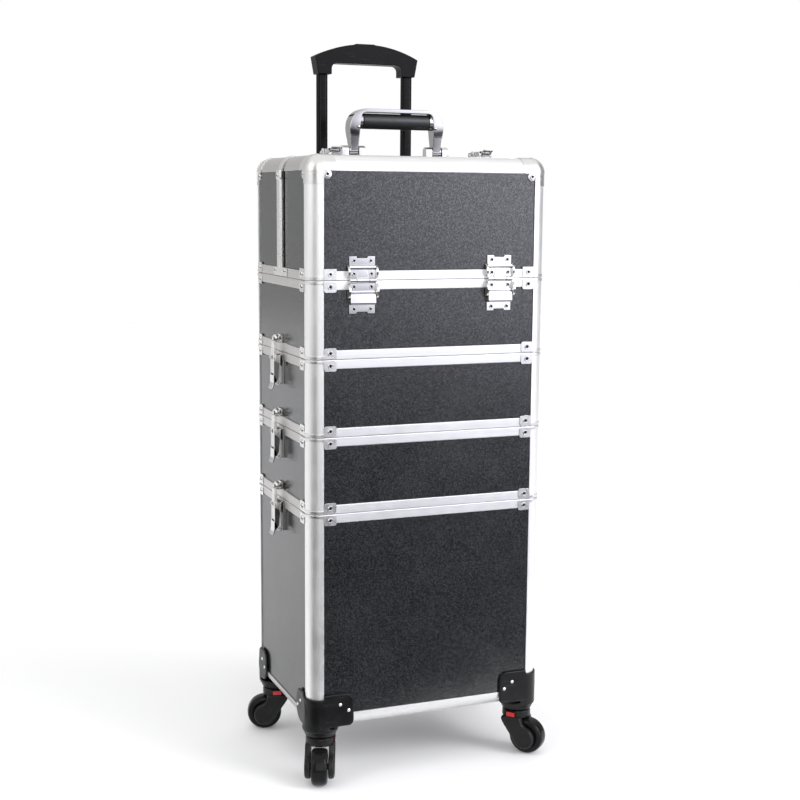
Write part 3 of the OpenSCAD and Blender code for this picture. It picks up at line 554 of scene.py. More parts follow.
# Hollow rivet heads: a shallow dish in the middle, its faces in painted shade
RIVET = turned([(3.4, 0), (3.4, 0.4), (3.1, 0.95), (2.6, 1.3), (2.15, 1.25), (1.9, 0.95), (0, 0.93)],
               20, shade_within=2.0)
SMALL_RIVET = turned([(2.6, 0), (2.6, 0.4), (2.4, 0.9), (1.95, 1.2), (1.65, 1.15), (1.5, 0.95), (0, 0.93)],
                     shade_within=1.6)
DOME_RIVET = turned([(2.4, 0), (2.3, 0.5), (1.7, 0.95), (0.9, 1.2), (0, 1.25)])
# Rivets in the model that are wider than this get the large head
LARGE_RIVET = 5 * MM


def rivet_heads():
    """Hollow rivet heads, their middles in painted shade, where the model has its plain ones, and closed
    domes on the black guards.
    """
    heads, domes = bmesh.new(), bmesh.new()
    plain = copied("rivets")
    for piece in islands(plain):
        lo, hi = corners_of(piece)
        middle = (lo + hi) / 2
        axis = min(range(3), key=lambda i: hi[i] - lo[i])
        out = Vector([math.copysign(1.0, middle[i]) if i == axis else 0.0 for i in range(3)])
        spot = middle.copy()
        spot[axis] = lo[axis] if middle[axis] > 0 else hi[axis]
        if middle.z < CASE_FLOOR + GUARD_TOP:
            added(domes, DOME_RIVET, facing(spot, out))
        else:
            added(heads, RIVET if max(hi - lo) > LARGE_RIVET else SMALL_RIVET, facing(spot, out))
    plain.free()
    finished("rivet_heads", heads, "case", "chrome", NICKEL, ["rivets"], others=[HOLE_SHADE])
    finished("guard_rivet_heads", domes, "case", "chrome", NICKEL_SOFT, ["rivets"])


rivet_heads()


def small_step(edge):
    """The short edges at the corners of a thin plate's tabs."""
    return edge.calc_length() < 1.2 * MM and abs(edge.verts[0].co.z - edge.verts[1].co.z) < 0.01 * MM


def cap_ears(corner_x, corner_y, into):
    """The round ears of a top corner cap on its two panels and on the top, each with a rivet."""
    ear_r, ear_in, ear_t = 6.0, 4.8, 1.3
    disc = turned([(0, -0.4), (ear_r, -0.4), (ear_r, ear_t - 0.4), (ear_r - 0.4, ear_t), (0, ear_t)], 24)
    inner_x, inner_y = HALF_W - EDGE_R - ear_in * MM, HALF_D - EDGE_R - ear_in * MM
    below = CASE_TOP - EDGE_R - ear_in * MM
    face = REVEAL * MM
    for spot, out in (((corner_x * inner_x, corner_y * (HALF_D - face), below), (0, corner_y, 0)),
                      ((corner_x * (HALF_W - face), corner_y * inner_y, below), (corner_x, 0, 0)),
                      ((corner_x * inner_x, corner_y * inner_y, CASE_TOP - face), (0, 0, 1))):
        place = facing(spot, out)
        added(into, disc, place)
        added(into, RIVET, place @ Matrix.Translation((0, 0, ear_t * MM)))
    disc.free()


def corner_metal(node, corner_y):
    """Corner plates with rounded tabs, and the three-way caps with their ears."""
    shape = rounded(copied(node), 2.6 * MM, segments=4, pick=small_step)
    rounded(shape, 0.25 * MM)
    for side in (-1, 1):
        cap_ears(side, corner_y, shape)
        if corner_y < 0:
            for spot, out in (((side * (HALF_W - PLATE_RIVET), -HALF_D, 0), (0, -1, 0)),
                              ((side * HALF_W, -HALF_D + PLATE_RIVET, 0), (side, 0, 0))):
                spot = Vector(spot) + Vector(out) * PLATE_T + Vector((0, 0, LID_PARTING + PLATE_MID))
                added(shape, RIVET, facing(spot, out))
    dressed(node, shape, NICKEL_SOFT, [HOLE_SHADE])


corner_metal("corner_fittings", 1)
corner_metal("lid_corner_fittings", -1)


def outer_upright(edge):
    """The two long upright edges on the outside of a hood strip."""
    a, b = (v.co for v in edge.verts)
    return abs(a.z - b.z) > 50 * MM and min(abs(a.x), abs(b.x)) > HALF_W + 2 * MM


def hood_strips():
    """Round-backed strips at the split of the lid, each with a clip and rivet at its top."""
    shape = rounded(copied("hood_strips"), 3.4 * MM, segments=5, pick=outer_upright)
    rounded(shape, 0.4 * MM)
    middle = STRIP_MIDDLE / MM
    clip_half, clip_sunk, clip_proud, clip_down, clip_up, rivet_down = 8.4, 1.4, 4.9, 11, 2, 5
    top = (CASE_TOP - EDGE_R) / MM
    face = HALF_W / MM + clip_proud
    for side in (-1, 1):
        x_in, x_out = sorted((side * (HALF_W / MM - clip_sunk), side * face))
        clip = bar((x_in, middle - clip_half, top - clip_down),
                   (x_out, middle + clip_half, top + clip_up), 2.2, 3)
        added(shape, clip, Matrix())
        clip.free()
        added(shape, RIVET, facing(Vector((side * face, middle, top - rivet_down)) * MM, (side, 0, 0)))
    dressed("hood_strips", shape, NICKEL_SOFT, [HOLE_SHADE])


hood_strips()
softened("corner_posts", 0.35 * MM, ALU_UPRIGHT)


def profiles(node, width):
    """Drawn profiles, each face with its lines along the profile it belongs to: across, deep or upright; the
    deep faces on the sides are darker, as painted shade.
    """
    shape = rounded(copied(node), width, segments=3)
    for face in shape.faces:
        spot = face.calc_center_median()
        past_side = abs(spot.x) > HALF_W - EDGE_R
        past_front = abs(spot.y) > HALF_D - EDGE_R
        # Side faces that run front to back take the darker aluminium, which is painted shade
        face.material_index = (2 if past_front else 1) if past_side else 0
    dressed(node, shape, ALU_ACROSS, [ALU_SIDE_SHADED, ALU_UPRIGHT])


profiles("edge_rails", 0.35 * MM)
profiles("joint_bands", 0.8 * MM)
profiles("lid_profiles", 0.6 * MM)
softened("latch_keepers", 0.3 * MM, NICKEL)
softened("handle_feet", 0.9 * MM, NICKEL, 3)
softened("hood_lip", 0.4 * MM, LIP_RUBBER)
for node in ("tray_arms", "arm_pivots", "tray_pivots"):
    softened(node, 0.25 * MM, ALU_UPRIGHT)
softened("carry_grip", 1.2 * MM, GRIP_LEATHER, 3)
softened("trolley_outer_tubes", 1.5 * MM, TUBE_BLACK, 3)
softened("trolley_inner_tubes", 1.2 * MM, TUBE_BLACK, 3)
softened("trolley_brackets", 1.0 * MM, GUARD_PLASTIC)
softened("trolley_button", 1.2 * MM, GRIP_PLASTIC, 3)

# Draw latches, in mm: x out of the face, y across, z up from the parting

LEVER_PIVOT = Vector((9.0, 0.0, -9.0))
CLAW_PIN = Vector((9.0, 0.0, -27.0))
# The claw's ball head, and the face of its plate
HEAD_UP = 18.0
HEAD_OUT = 6.8
HEAD_R = 5.4
CLAW_FACE = 12.2
JOINTS = {joint["name"]: joint for joint in frame["record"]["behaviour"]["joints"]}


def latch_place(latch):
    """Where a latch's own axes lie, from the pivot of its lever."""
    pivot = Vector(JOINTS[f"latch_turn_{latch}"]["pos_m"])
    if latch in SIDE_LATCHES:
        turn = Matrix.Diagonal((math.copysign(1.0, pivot.x), 1.0, 1.0, 1.0))
    else:
        laid_flat = Matrix(((0, 1, 0, 0), (0, 0, 1, 0), (1, 0, 0, 0), (0, 0, 0, 1)))
        turn = laid_flat @ Matrix.Scale(TOP_LATCH_SCALE, 4)
    return Matrix.Translation(pivot) @ turn @ Matrix.Translation(-LEVER_PIVOT * MM)


def rod(start, end, r, width=0.3, steps=20):
    """A round rod between two points in mm with eased ends."""
    start, end = Vector(start), Vector(end)
    length = (end - start).length
    profile = [(0, 0), (r - width, 0), (r, width), (r, length - width), (r - width, length), (0, length)]
    shape = turned(profile, steps)
    shape.transform(facing(start * MM, end - start))
    return shape


def joined(parts):
    """One shape from several parts."""
    shape = bmesh.new()
    for part in parts:
        added(shape, part, Matrix())
        part.free()
    return shape


def twice(make):
    """A part on both sides of the latch: make(side) for the side at -Y and at +Y."""
    return [make(-1), make(1)]


def across(outline, y_lo, y_hi, side, width=0.35):
    """An outline in x and z drawn out across the latch on one side."""
    y_lo, y_hi = sorted((side * y_lo, side * y_hi))
    return rounded(prism(outline, y_lo, y_hi, "y"), width * MM)


def latch_base():
    """A plate with raised rims, two ears for the lever's pins and a turned-up foot."""
    half = 10.9
    ear = [(1, -4), *reversed(arc(9, -9, 4.2, -70, 110, 10)), (7, -14.5), (4, -19), (1, -20)]
    rim = [(0.2, -3), (3.8, -3), (4.2, -8), (4.2, -38), (3.0, -43.5), (0.2, -44.5)]
    foot = [(0.5, -44.5), (5.5, -46), (6.0, -44.8), (1.5, -40)]
    return joined([bar((-1.4, -half, -44.5), (1.5, half, -12.3), 0.4),
                   bar((0.1, -half, -12.4), (1.5, half, -1.4), 0.4),
                   *twice(lambda side: across(ear, 8.9, half, side)),
                   *twice(lambda side: across(rim, 9.4, half, side)),
                   across(foot, -7.5, 7.5, 1),
                   *twice(lambda side: rod((9, side * 6.7, -9), (9, side * 11.5, -9), 2.0))])


def latch_lever():
    """Two cheeks joined by the finger tab."""
    half = 8.5
    cheek = [*arc(8, -9, 4.2, -20, 180, 10), (5.0, -24), (6.2, -37), (8.2, -41), (12.2, -41), (12.2, -10)]
    tab = [(8, -39), (9.5, -34.5), (11.5, -32), (12.8, -32), (13.0, -42), (13.8, -46), (15.6, -50.5),
           (14.2, -51.5), (12.0, -46.5), (10.8, -43), (8, -41.5)]
    return joined([*twice(lambda side: across(cheek, 6.5, half, side)), across(tab, -half, half, 1, 0.5)])


def latch_claw(lip_end):
    """A plate with a hole in painted shade, a ball head with a slot in painted shade and a lip that reaches
    in to lip_end.
    """
    half = 6.2
    plate = [(-half, -30), (half, -30), (half, 5), (4.6, 10), (3.4, 14.5),
             (-3.4, 14.5), (-4.6, 10), (-half, 5)]
    head = turned(arc(0, 0, HEAD_R, -90, 90, 14), 24)
    head.transform(Matrix.Translation(Vector((HEAD_OUT, 0, HEAD_UP)) * MM))
    # The hole: a shallow dish whose middle is painted shade
    hole = turned([(3.6, -0.3), (3.6, 0.15), (3.2, 0.3), (2.8, 0.06), (0, 0.05)], 20, shade_within=2.9)
    hole.transform(facing(Vector((CLAW_FACE, 0, -8)) * MM, (1, 0, 0)))
    # The head's slot: a small bar in painted shade
    slot = bar((-0.6, -0.6, -2.4), (0.6, 0.6, 2.4), 0.2)
    slot_in = 3.6
    slot_place = Matrix.Translation(Vector((HEAD_OUT + slot_in, -slot_in, HEAD_UP)) * MM)
    slot.transform(slot_place @ Matrix.Rotation(math.pi / 4, 4, "Z"))
    in_painted_shade(slot)
    return joined([rounded(prism(plate, 7.8, CLAW_FACE, "x"), 0.5 * MM), head, hole, slot,
                   bar((lip_end, -3.5, HEAD_UP - 1.5), (9.7, 3.5, HEAD_UP + 1.5), 0.3),
                   rod(CLAW_PIN - Vector((0, 8.4, 0)), CLAW_PIN + Vector((0, 8.4, 0)), 1.5)])


def latches():
    """Every latch: its lever and its claw as pieces of their own, and the bases by what carries them."""
    lever, base = latch_lever(), latch_base()
    bases = {"latch_bases": bmesh.new(), "top_latch_bases": bmesh.new()}
    for latch in LATCHES:
        on_side = latch in SIDE_LATCHES
        claw = latch_claw(3.0 if on_side else 2.2)
        place = latch_place(latch)
        added(bases["latch_bases" if on_side else "top_latch_bases"], base, place)
        for name, part, metal in ((f"lever_{latch}", lever, NICKEL), (f"claw_{latch}", claw, NICKEL_CAST)):
            shape = bmesh.new()
            added(shape, part, place)
            dressed(name, fresh(shape), metal, [HOLE_SHADE])
        claw.free()
    for node, shape in bases.items():
        dressed(node, fresh(shape), NICKEL_CAST)
    lever.free()
    base.free()


latches()

# Front hinges, in mm: x across, out of the front face, z up from the parting

HINGE_X = 98.0
HINGE_HALF = 18.0
KNUCKLE = 3.0
PIN_OUT = 3.4
# Half width and depth of the notch in a leaf's end plate
NOTCH_HALF = 7.0
NOTCH_DEPTH = 2.4
# The lower leaf's outer knuckles start here, and the upper leaf's knuckle fills the room between
KNUCKLE_IN = 9.1
KNUCKLE_MID = 8.6


def hinge_bar(out_lo, out_hi, z_lo, z_hi, width=0.4):
    return bar((-HINGE_HALF, -out_hi, z_lo), (HINGE_HALF, -out_lo, z_hi), width)


def along_hinge(outline, x_lo, x_hi, width):
    """An outline in out and z drawn out along the hinge."""
    return rounded(prism([(-out, z) for out, z in outline], x_lo, x_hi, "x"), width * MM)


def notched_plate(z_near, z_far):
    """The end plate of a leaf on the panel, with a shallow notch in its far edge."""
    half, notch = HINGE_HALF - 0.4, NOTCH_HALF
    z_dip = z_far + math.copysign(NOTCH_DEPTH, z_near - z_far)
    outline = [(-half, z_near), (half, z_near), (half, z_far), (notch + 1, z_far), (notch, z_dip),
               (-notch, z_dip), (-notch - 1, z_far), (-half, z_far)]
    return rounded(prism(outline, -0.3, 1.45, "y"), 0.4 * MM)


def hinge_rivets(z, out, x):
    """A rivet on each side of a leaf's middle."""
    heads = bmesh.new()
    for side in (-1, 1):
        added(heads, SMALL_RIVET, facing(Vector((side * x, -out, z)) * MM, (0, -1, 0)))
    return heads


def knuckle(x_lo, x_hi):
    return rod((x_lo, -PIN_OUT, 0), (x_hi, -PIN_OUT, 0), KNUCKLE, 0.4)


def knuckle_web(x_lo, x_hi, z_lo, z_hi):
    """The metal between a knuckle and its leaf."""
    return bar((x_lo, -PIN_OUT, z_lo), (x_hi, -0.1, z_hi), 0.3)


def cheek(r, z, side):
    """A curved guard plate beside the hinge."""
    outline = arc(-2, z, r, -78, 78, 18)
    x_lo, x_hi = sorted((side * (HINGE_HALF - 0.1), side * (HINGE_HALF + 2.6)))
    return along_hinge([(0.1, outline[0][1]), *outline, (0.1, outline[-1][1])], x_lo, x_hi, 0.7)


def lower_leaf():
    """The leaf on the tier: a plate, a stepped flap, an end plate, two knuckles and guards."""
    flap = [(-1.3, -16.6), (3.6, -16.6), (5.0, -17.4), (5.6, -19), (6.4, -28.6), (6.0, -30.4),
            (4.6, -31.4), (-1.3, -31.6)]
    return joined([hinge_bar(0.1, 1.8, -13.5, -3.3),
                   hinge_bar(-1.3, 3.4, -17.4, -13.2, 1.2),
                   along_hinge(flap, -HINGE_HALF + 0.6, HINGE_HALF - 0.6, 0.6),
                   notched_plate(-31, -43), hinge_rivets(-8.4, 1.8, 12), hinge_rivets(-37.4, 0.3, 11.5),
                   *(knuckle(*sorted((side * KNUCKLE_IN, side * HINGE_HALF))) for side in (-1, 1)),
                   *(knuckle_web(*sorted((side * KNUCKLE_IN, side * (HINGE_HALF - 0.1))), -3.6, -0.2)
                     for side in (-1, 1)),
                   *(cheek(11.2, -14, side) for side in (-1, 1))])


def upper_leaf():
    """The leaf on the lid: a plate with a tongue, a roll, an end plate, the middle knuckle and guards."""
    tongue = [(-6.5, 12.6), (6.5, 12.6), (8.4, 3.0), (8.4, 0.4), (-8.4, 0.4), (-8.4, 3.0)]
    return joined([hinge_bar(0.1, 1.8, 3.3, 13.5),
                   rounded(prism(tongue, -2.8, -1.5, "y"), 0.4 * MM),
                   rod((-HINGE_HALF, -0.6, 16.6), (HINGE_HALF, -0.6, 16.6), 3.4, 0.5),
                   notched_plate(19.4, 31), hinge_rivets(8.4, 1.8, 12), hinge_rivets(25.2, 0.3, 11.5),
                   knuckle(-KNUCKLE_MID, KNUCKLE_MID), knuckle_web(-KNUCKLE_MID, KNUCKLE_MID, 0.2, 3.6),
                   *(cheek(8.4, 11, side) for side in (-1, 1))])


def hinges():
    for node, make in (("hinge_lower_leaves", lower_leaf), ("hinge_upper_leaves", upper_leaf)):
        leaf = make()
        shape = bmesh.new()
        for side in (-1, 1):
            added(shape, leaf, Matrix.Translation((side * HINGE_X * MM, -HALF_D, LID_PARTING)))
        leaf.free()
        dressed(node, shape, NICKEL, [HOLE_SHADE])


hinges()

# Carry handle and trolley, in mm


def between(p, q, r, s, t):
    """A number between q and r on a smooth curve through p, q, r and s."""
    return q + 0.5 * t * (r - p + t * (2 * p - 5 * q + 4 * r - s + t * (3 * (q - r) + s - p)))


def eased(rows, steps=4):
    """Rows of numbers with smooth in-between rows added."""
    found = []
    for i in range(len(rows) - 1):
        near = rows[max(i - 1, 0)], rows[i], rows[i + 1], rows[min(i + 2, len(rows) - 1)]
        found += [tuple(between(*four, k / steps) for four in zip(*near)) for k in range(steps)]
    return found + [rows[-1]]


BAIL_Y = 12.0
BAIL_PIVOT = 10.0
GRIP_UP = 50.2
# Half of the bail from its middle to a pivot: outer x and z, inner x and z, half depth; z from the case's top
BAIL_ROWS = ((0, 67, 0, 61.4, 11), (38, 67, 40, 61.4, 11), (49, 66.4, 48, 61.0, 11),
             (57.5, 63.2, 51.6, 58.0, 11), (63.8, 57.8, 53.0, 53.0, 11), (67.8, 50.5, 53.8, 47.0, 11),
             (69.3, 41.5, 54.4, 39.5, 10.6), (68.8, 32.5, 54.8, 31.5, 9.6), (67.6, 24.5, 55.1, 24.0, 8.2),
             (66.8, 16.5, 55.4, 16.3, 6.8), (66.6, 10, 55.6, 10, 6))


def strap(rows, middle, base):
    """A closed bent strap through rows of outer and inner points and half depths."""
    shape = bmesh.new()
    rings = [[shape.verts.new(Vector((x, middle + way * half, base + z)) * MM)
              for x, z, way in ((ox, oz, -1), (ox, oz, 1), (ix, iz, 1), (ix, iz, -1))]
             for ox, oz, ix, iz, half in rows]
    for low, high in zip(rings, rings[1:]):
        for i in range(4):
            shape.faces.new((low[i], low[i - 1], high[i - 1], high[i]))
    shape.faces.new(rings[0])
    shape.faces.new(rings[-1])
    return fresh(shape)


def carry_bail():
    """A deep chrome strap whose shoulders narrow to the pivots, with the collars at the grip's ends."""
    top = CASE_TOP / MM
    half = eased(BAIL_ROWS)
    left = [(-ox, oz, -ix, iz, deep) for ox, oz, ix, iz, deep in reversed(half[1:])]

    def crosswise(x_lo, x_hi, up, *form):
        """A rod along X at a height above the case's top."""
        return rod((x_lo, BAIL_Y, top + up), (x_hi, BAIL_Y, top + up), *form)

    parts = [rounded(strap(left + half, BAIL_Y, top), 1.5 * MM, segments=3), crosswise(-56, 56, GRIP_UP, 2.4)]
    for side in (-1, 1):
        parts.append(crosswise(side * 55.2, side * 68.8, BAIL_PIVOT, 5.9, 0.8, 28))
        parts.append(crosswise(side * 49.3, side * 54.6, GRIP_UP, 10.8, 0.9, 36))
        head = bmesh.new()
        spot = Vector((side * 57, BAIL_Y - 10.9, top + GRIP_UP - 8)) * MM
        added(head, DOME_RIVET, facing(spot, (0, -1, 0)))
        parts.append(head)
    dressed("carry_bail", joined(parts), BAIL_CHROME)


carry_bail()

# The trolley grip's sockets: top, height of the taper, where it starts from the middle, its width and depth
SOCKET_TOP = 982.0
SOCKET_H = 22.0
SOCKET_IN = 71.0
SOCKET_W = 7.0
SOCKET_TAPER = 4.5


def trolley_pull():
    """The arched grip, its sockets narrowing a little on the outside towards the tubes."""
    shape = rounded(copied("trolley_grip"), 3.4 * MM, segments=5)
    for v in shape.verts:
        low = min(max((SOCKET_TOP * MM - v.co.z) / (SOCKET_H * MM), 0.0), 1.0)
        out = min(max((abs(v.co.x) - SOCKET_IN * MM) / (SOCKET_W * MM), 0.0), 1.0)
        v.co.x -= math.copysign(SOCKET_TAPER * MM * low * out, v.co.x)
    dressed("trolley_grip", shape, GRIP_PLASTIC)


trolley_pull()

# Casters, in mm: x from the swivel to the wheel, y across, z up from the floor

TRAIL = 18.0
WHEEL_R = 25.0
# A fork's cheek lies between these, out from the wheel's middle
FORK_IN = 12.2
FORK_OUT = 20.2
BUTTON_UP = 58.4
# Outline of a cheek: down its front, round the axle and up behind the wheel
CHEEK = [*eased(((-9, 55.5), (-14.2, 53.6), (-16.2, 49.5), (-13.2, 43), (-8.6, 36.5), (-3.2, 29.2),
                 (0.6, 23.4), (3.2, 18.6)), 3),
         *arc(TRAIL, WHEEL_R, 16, 212, 418, 26),
         *eased(((25.6, 39), (21, 41.2), (17.2, 44.4), (15.4, 48.4), (13.6, 53), (9, 55.5)), 3)]


def drawn_in(outline, step):
    """An outline moved inwards by a step, point for point; it runs counter-clockwise."""
    found = []
    for i, (x, z) in enumerate(outline):
        (ax, az), (bx, bz) = outline[i - 1], outline[(i + 1) % len(outline)]
        along = Vector((bx - ax, bz - az)).normalized()
        found.append((x - along.y * step, z + along.x * step))
    return found


# Section of a fork's cheek: how far in from the outline, and how far out from the wheel
CHEEK_SECTION = ((0.8, FORK_IN), (0, 13), (0, 16.6), (0.4, 18.2), (1.2, 19.4), (2.2, 20.0),
                 (3.0, FORK_OUT), (3.7, 20.1), (4.2, 19.6), (4.6, 19.3))


def fork_cheek(side):
    """A comma-shaped cheek with rounded edges, its outer face sunk within a raised rim."""
    shape = bmesh.new()
    rings = [[shape.verts.new(Vector((x, side * y, z)) * MM) for x, z in drawn_in(CHEEK, step)]
             for step, y in CHEEK_SECTION]
    for low, high in zip(rings, rings[1:]):
        for i in range(len(CHEEK)):
            shape.faces.new((low[i - 1], low[i], high[i], high[i - 1]))
    shape.faces.new(rings[0])
    shape.faces.new(rings[-1])
    return fresh(shape)


def caster(name):
    """A fork with its crown, stem, axle and a block in painted shade for its button window, a wheel and a red
    button.
    """
    swivel, axle = (Vector(JOINTS[f"{joint}_{name}"]["pos_m"]) for joint in ("swivel", "roll"))
    ahead = axle - swivel
    heading = Matrix.Rotation(math.atan2(ahead.y, ahead.x), 4, "Z")
    place = Matrix.Translation((swivel.x, swivel.y, 0)) @ heading
    button = f"button_{name}"
    lo, hi = corners_of(frame["nodes"][button].data.vertices)
    side = math.copysign(1.0, (place.inverted() @ ((lo + hi) / 2)).y)
    # The button window: a block in painted shade where the recess would be
    window = bar(*((x, side * y, BUTTON_UP + z) for x, y, z in ((-7.2, 15, -4.2), (7.2, FORK_OUT, 4.2))), 0.5)
    in_painted_shade(fresh(window))
    crown = turned([(0, 51.5), (16.5, 51.5), (19.0, 52.3), (20, 54), (20, 60.5), (19.3, 63), (17, 64.5),
                    (0, 64.6)], 40)
    fork = joined([crown, window, *(fork_cheek(way) for way in (-1, 1)), rod((0, 0, 64), (0, 0, 88), 5.0),
                   rod((TRAIL, -FORK_OUT + 0.6, WHEEL_R), (TRAIL, FORK_OUT - 0.6, WHEEL_R), 4.0)])
    half = [(12, 9.4), (14.5, 9.8), (17, 10.7), (19.8, 11), (22, 10.4), (23.7, 9.0), (24.6, 7.0),
            (WHEEL_R, 4.2), (WHEEL_R, 2)]
    line = [(0, -8.6), (11, -8.6), *((r, -h) for r, h in half), *reversed(half), (11, 8.6), (0, 8.6)]
    wheel = turned(line, 56)
    wheel.transform(facing(Vector((TRAIL, 0, WHEEL_R)) * MM, (0, 1, 0)))
    press = bar(*((x, side * y, BUTTON_UP + z) for x, y, z in ((-6, 6, -3), (6, 20.9, 3))), 0.7, 3)
    fresh(press)
    for node, shape, *finishes in ((f"fork_{name}", fork, GUARD_PLASTIC, [HOLE_SHADE]),
                                   (f"wheel_{name}", wheel, WHEEL_PLASTIC), (button, press, RED)):
        shape.transform(place)
        dressed(node, shape, *finishes)


for name in CASTERS:
    caster(name)


def guard_funnel(name):
    """The ring that runs from a guard's legs down to the collar of its caster."""
    ring = turned([(9, 65.4), (20.6, 65.4), (21.6, 68), (23.4, 71.5), (24.9, 74), (24.9, 76.8), (9, 76.8),
                   (9, 65.4)], 48)
    x, y, _ = JOINTS[f"swivel_{name}"]["pos_m"]
    ring.transform(Matrix.Translation((x, y, 0)))
    return ring


moulded("corner_guards", 1.3 * MM, 6, GUARD_PLASTIC, [guard_funnel(name) for name in CASTERS])

# Inside: padded dividers and the tray


# A divider's fullness at its edges, how squarely it swells, and its piping
EDGE_FULL = 0.45
SWELL = 6
PIPING_R = 1.2
PIPING_DOWN = 1.3 * MM


def padded_dividers():
    """Each divider as a stuffed slab, fuller in the middle, with piping along its top."""
    plain = copied("tier_dividers")
    shape = bmesh.new()
    for piece in islands(plain):
        lo, hi = corners_of(piece)
        size = hi - lo
        thin = min(range(2), key=lambda i: size[i])
        slab = bmesh.new()
        bmesh.ops.create_cube(slab, size=1.0)
        bmesh.ops.subdivide_edges(slab, edges=slab.edges, cuts=9, use_grid_fill=True)
        long = 1 - thin
        for v in slab.verts:
            full = max(0.0, 1 - (2 * v.co[long]) ** SWELL) * max(0.0, 1 - (2 * v.co.z) ** SWELL)
            v.co[thin] *= EDGE_FULL + (1 - EDGE_FULL) * full
            v.co = Vector((lo[i] + (v.co[i] + 0.5) * size[i] for i in range(3)))
        added(shape, slab, Matrix())
        slab.free()
        start, end = lo.copy(), hi.copy()
        for end_point in (start, end):
            end_point[thin] = (lo[thin] + hi[thin]) / 2
            end_point.z = hi.z - PIPING_DOWN
        piping = rod(start / MM, end / MM, PIPING_R, 0.4, 10)
        added(shape, piping, Matrix())
        piping.free()
    plain.free()
    piece = dressed("tier_dividers", shape, VELVET)


padded_dividers()


def tray():
    """The lid's tray: a black shell with a soft lining."""
    wall, end_wall = 1.0 * MM, 8 * MM
    shape = rounded(copied("lid_tray"), 0.6 * MM)
    lo, hi = corners_of(shape.verts)
    for face in shape.faces:
        spot = face.calc_center_median()
        inside = all(lo[i] + wall < spot[i] < hi[i] - wall for i in range(3))
        face.material_index = 1 if inside and abs(spot.x) < hi.x - end_wall else 0
    dressed("lid_tray", shape, GRIP_PLASTIC, [VELVET])


tray()

# Floor, lights and camera


def floor_finish():
    f = Finish("pale_floor", metallic=0.0, roughness=0.8, emission_color=grey(1.0), emission_strength=0.05)
    t = f.tree
    f.feed("Base Color", blend_colours(t, noise(t, f.place, 2.0), grey(0.93), grey(0.96)))
    return f.material


# Reach of the floor behind and to each side
FLOOR_BACK = 7.0
FLOOR_HALF = 6.0
# The floor's front edge runs along the lower edge of the picture: y at the middle, and its slope
FLOOR_FRONT = -0.32
FLOOR_SLOPE = -0.4


def studio_floor():
    """A wide floor that ends a little in front of the case, as a studio's paper does."""
    shape = bmesh.new()
    bmesh.ops.create_grid(shape, x_segments=1, y_segments=1, size=1.0)
    for v in shape.verts:
        v.co.x *= FLOOR_HALF
        v.co.y = FLOOR_BACK if v.co.y > 0 else FLOOR_FRONT + FLOOR_SLOPE * v.co.x
    mesh = bpy.data.meshes.new("floor")
    shape.to_mesh(mesh)
    shape.free()
    mesh.materials.append(floor_finish())
    floor = bpy.data.objects.new("floor", mesh)
    bpy.context.scene.collection.objects.link(floor)


studio_floor()
# What the lights face
MIDDLE = Vector((0.0, 0.0, 0.45))


def softbox(name, place, width, height, power):
    lamp = bpy.data.lights.new(name, "AREA")
    lamp.shape = "RECTANGLE"
    lamp.size = width
    lamp.size_y = height
    lamp.energy = power
    box = bpy.data.objects.new(name, lamp)
    bpy.context.scene.collection.objects.link(box)
    turn = (MIDDLE - Vector(place)).to_track_quat("-Z", "Y").to_matrix().to_4x4()
    box.matrix_world = Matrix.Translation(place) @ turn


softbox("softbox_right", (1.9, -2.2, 2.2), 1.2, 1.2, 30.0)
softbox("softbox_left", (-2.3, -0.6, 1.7), 1.0, 1.6, 8.0)

# Brightness of the studio round the case: turn from the front in degrees, positive to the right, and level
SURROUND = ((-180, 0.62), (-140, 0.62), (-112, 0.9), (-66, 1.2), (-54, 0.5), (-38, 0.35), (-27, 2.3),
            (4, 2.3), (12, 0.6), (19, 1.25), (28, 3.5), (60, 3.3), (64, 0.3), (100, 0.25), (130, 0.62),
            (180, 0.62))
# Between these turns the light is a little blue, by this factor
BLUE_FROM, BLUE_TO, BLUE_SHARE = 8, 62, 1.13
OVERHEAD = 1.05
# Share of the surround that shows below the horizon in front
UNDERFOOT = 0.06


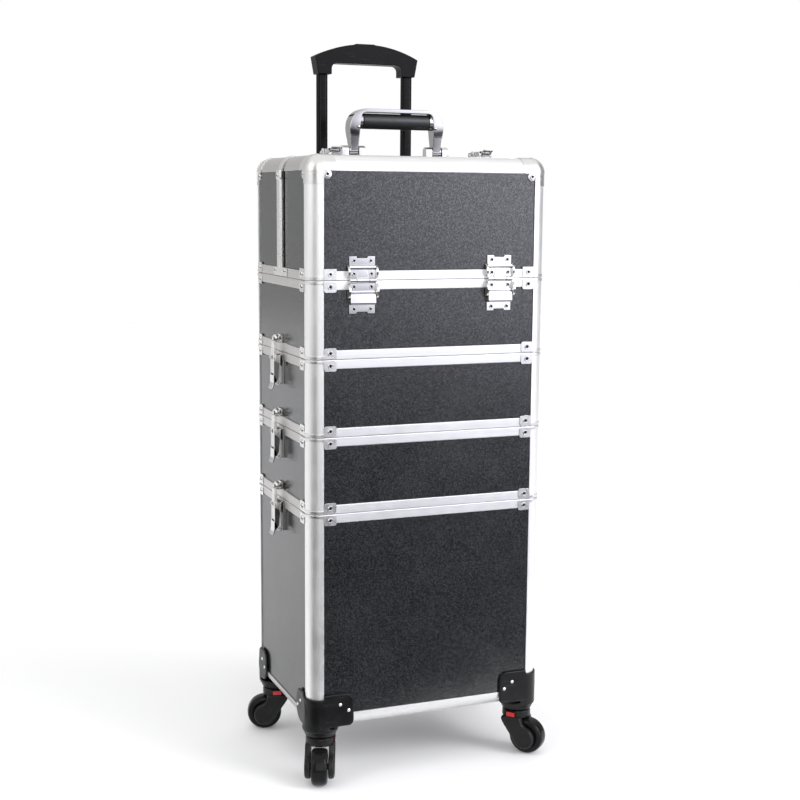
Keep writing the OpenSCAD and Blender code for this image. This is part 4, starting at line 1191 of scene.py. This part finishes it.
def studio_world():
    """White for the camera; for light and reflections, bright and dim sectors, dim below in front."""
    made = bpy.data.worlds.new("white_studio")
    made.use_nodes = True
    t = made.node_tree
    ray = put(t, "ShaderNodeTexCoord").outputs["Generated"]
    x, y, z = put(t, "ShaderNodeSeparateXYZ", {0: ray}).outputs
    turn = math_node(t, "ARCTAN2", x, scaled(t, y, -1.0))
    ramp = put(t, "ShaderNodeValToRGB", {"Fac": spread(t, turn, -math.pi, math.pi)})
    stops = ramp.color_ramp.elements
    while len(stops) < len(SURROUND):
        stops.new(0.5)
    for stop, (degrees, level) in zip(stops, SURROUND):
        stop.position = degrees / 360 + 0.5
        blue = BLUE_SHARE if BLUE_FROM < degrees < BLUE_TO else 1.0
        stop.color = (level, level, level * blue, 1.0)
    low_front = scaled(t, spread(t, z, 0.02, -0.16), spread(t, y, 0.1, -0.2))
    share = spread(t, low_front, 0.0, 1.0, 1.0, UNDERFOOT)
    feeds = {0: ramp.outputs["Color"], "Scale": share}
    level = put(t, "ShaderNodeVectorMath", feeds, operation="SCALE").outputs[0]
    level = blend_colours(t, spread(t, z, 0.5, 0.8), level, grey(OVERHEAD))
    seen = put(t, "ShaderNodeLightPath").outputs["Is Camera Ray"]
    t.links.new(blend_colours(t, seen, level, grey(1.0)), t.nodes["Background"].inputs["Color"])
    return made


bpy.context.scene.world = studio_world()
bpy.context.scene.view_settings.view_transform = "Standard"


# The camera that a fit to the case's straight edges gave: yaw, pitch and roll in degrees, place, lens in mm
CAMERA_TURN = (-21.84, 8.149, 0.418)
CAMERA_AT = (-0.7213, -1.8150, 0.7801)
CAMERA_LENS = 62.57
CAMERA_SENSOR = 36.0


def photo_camera():
    yaw, pitch, roll = (math.radians(a) for a in CAMERA_TURN)
    back = Vector((math.sin(yaw) * math.cos(pitch), -math.cos(yaw) * math.cos(pitch), math.sin(pitch)))
    right = Vector((0, 0, 1)).cross(back).normalized()
    up = back.cross(right)
    right, up = right * math.cos(roll) + up * math.sin(roll), up * math.cos(roll) - right * math.sin(roll)
    lens = bpy.data.cameras.new("photo_camera")
    lens.sensor_width = CAMERA_SENSOR
    lens.lens = CAMERA_LENS
    lens.clip_start = 0.05
    camera = bpy.data.objects.new("photo_camera", lens)
    bpy.context.scene.collection.objects.link(camera)
    turn = Matrix((right, up, back)).transposed().to_4x4()
    camera.matrix_world = Matrix.Translation(Vector(CAMERA_AT)) @ turn
    bpy.context.scene.camera = camera


photo_camera()
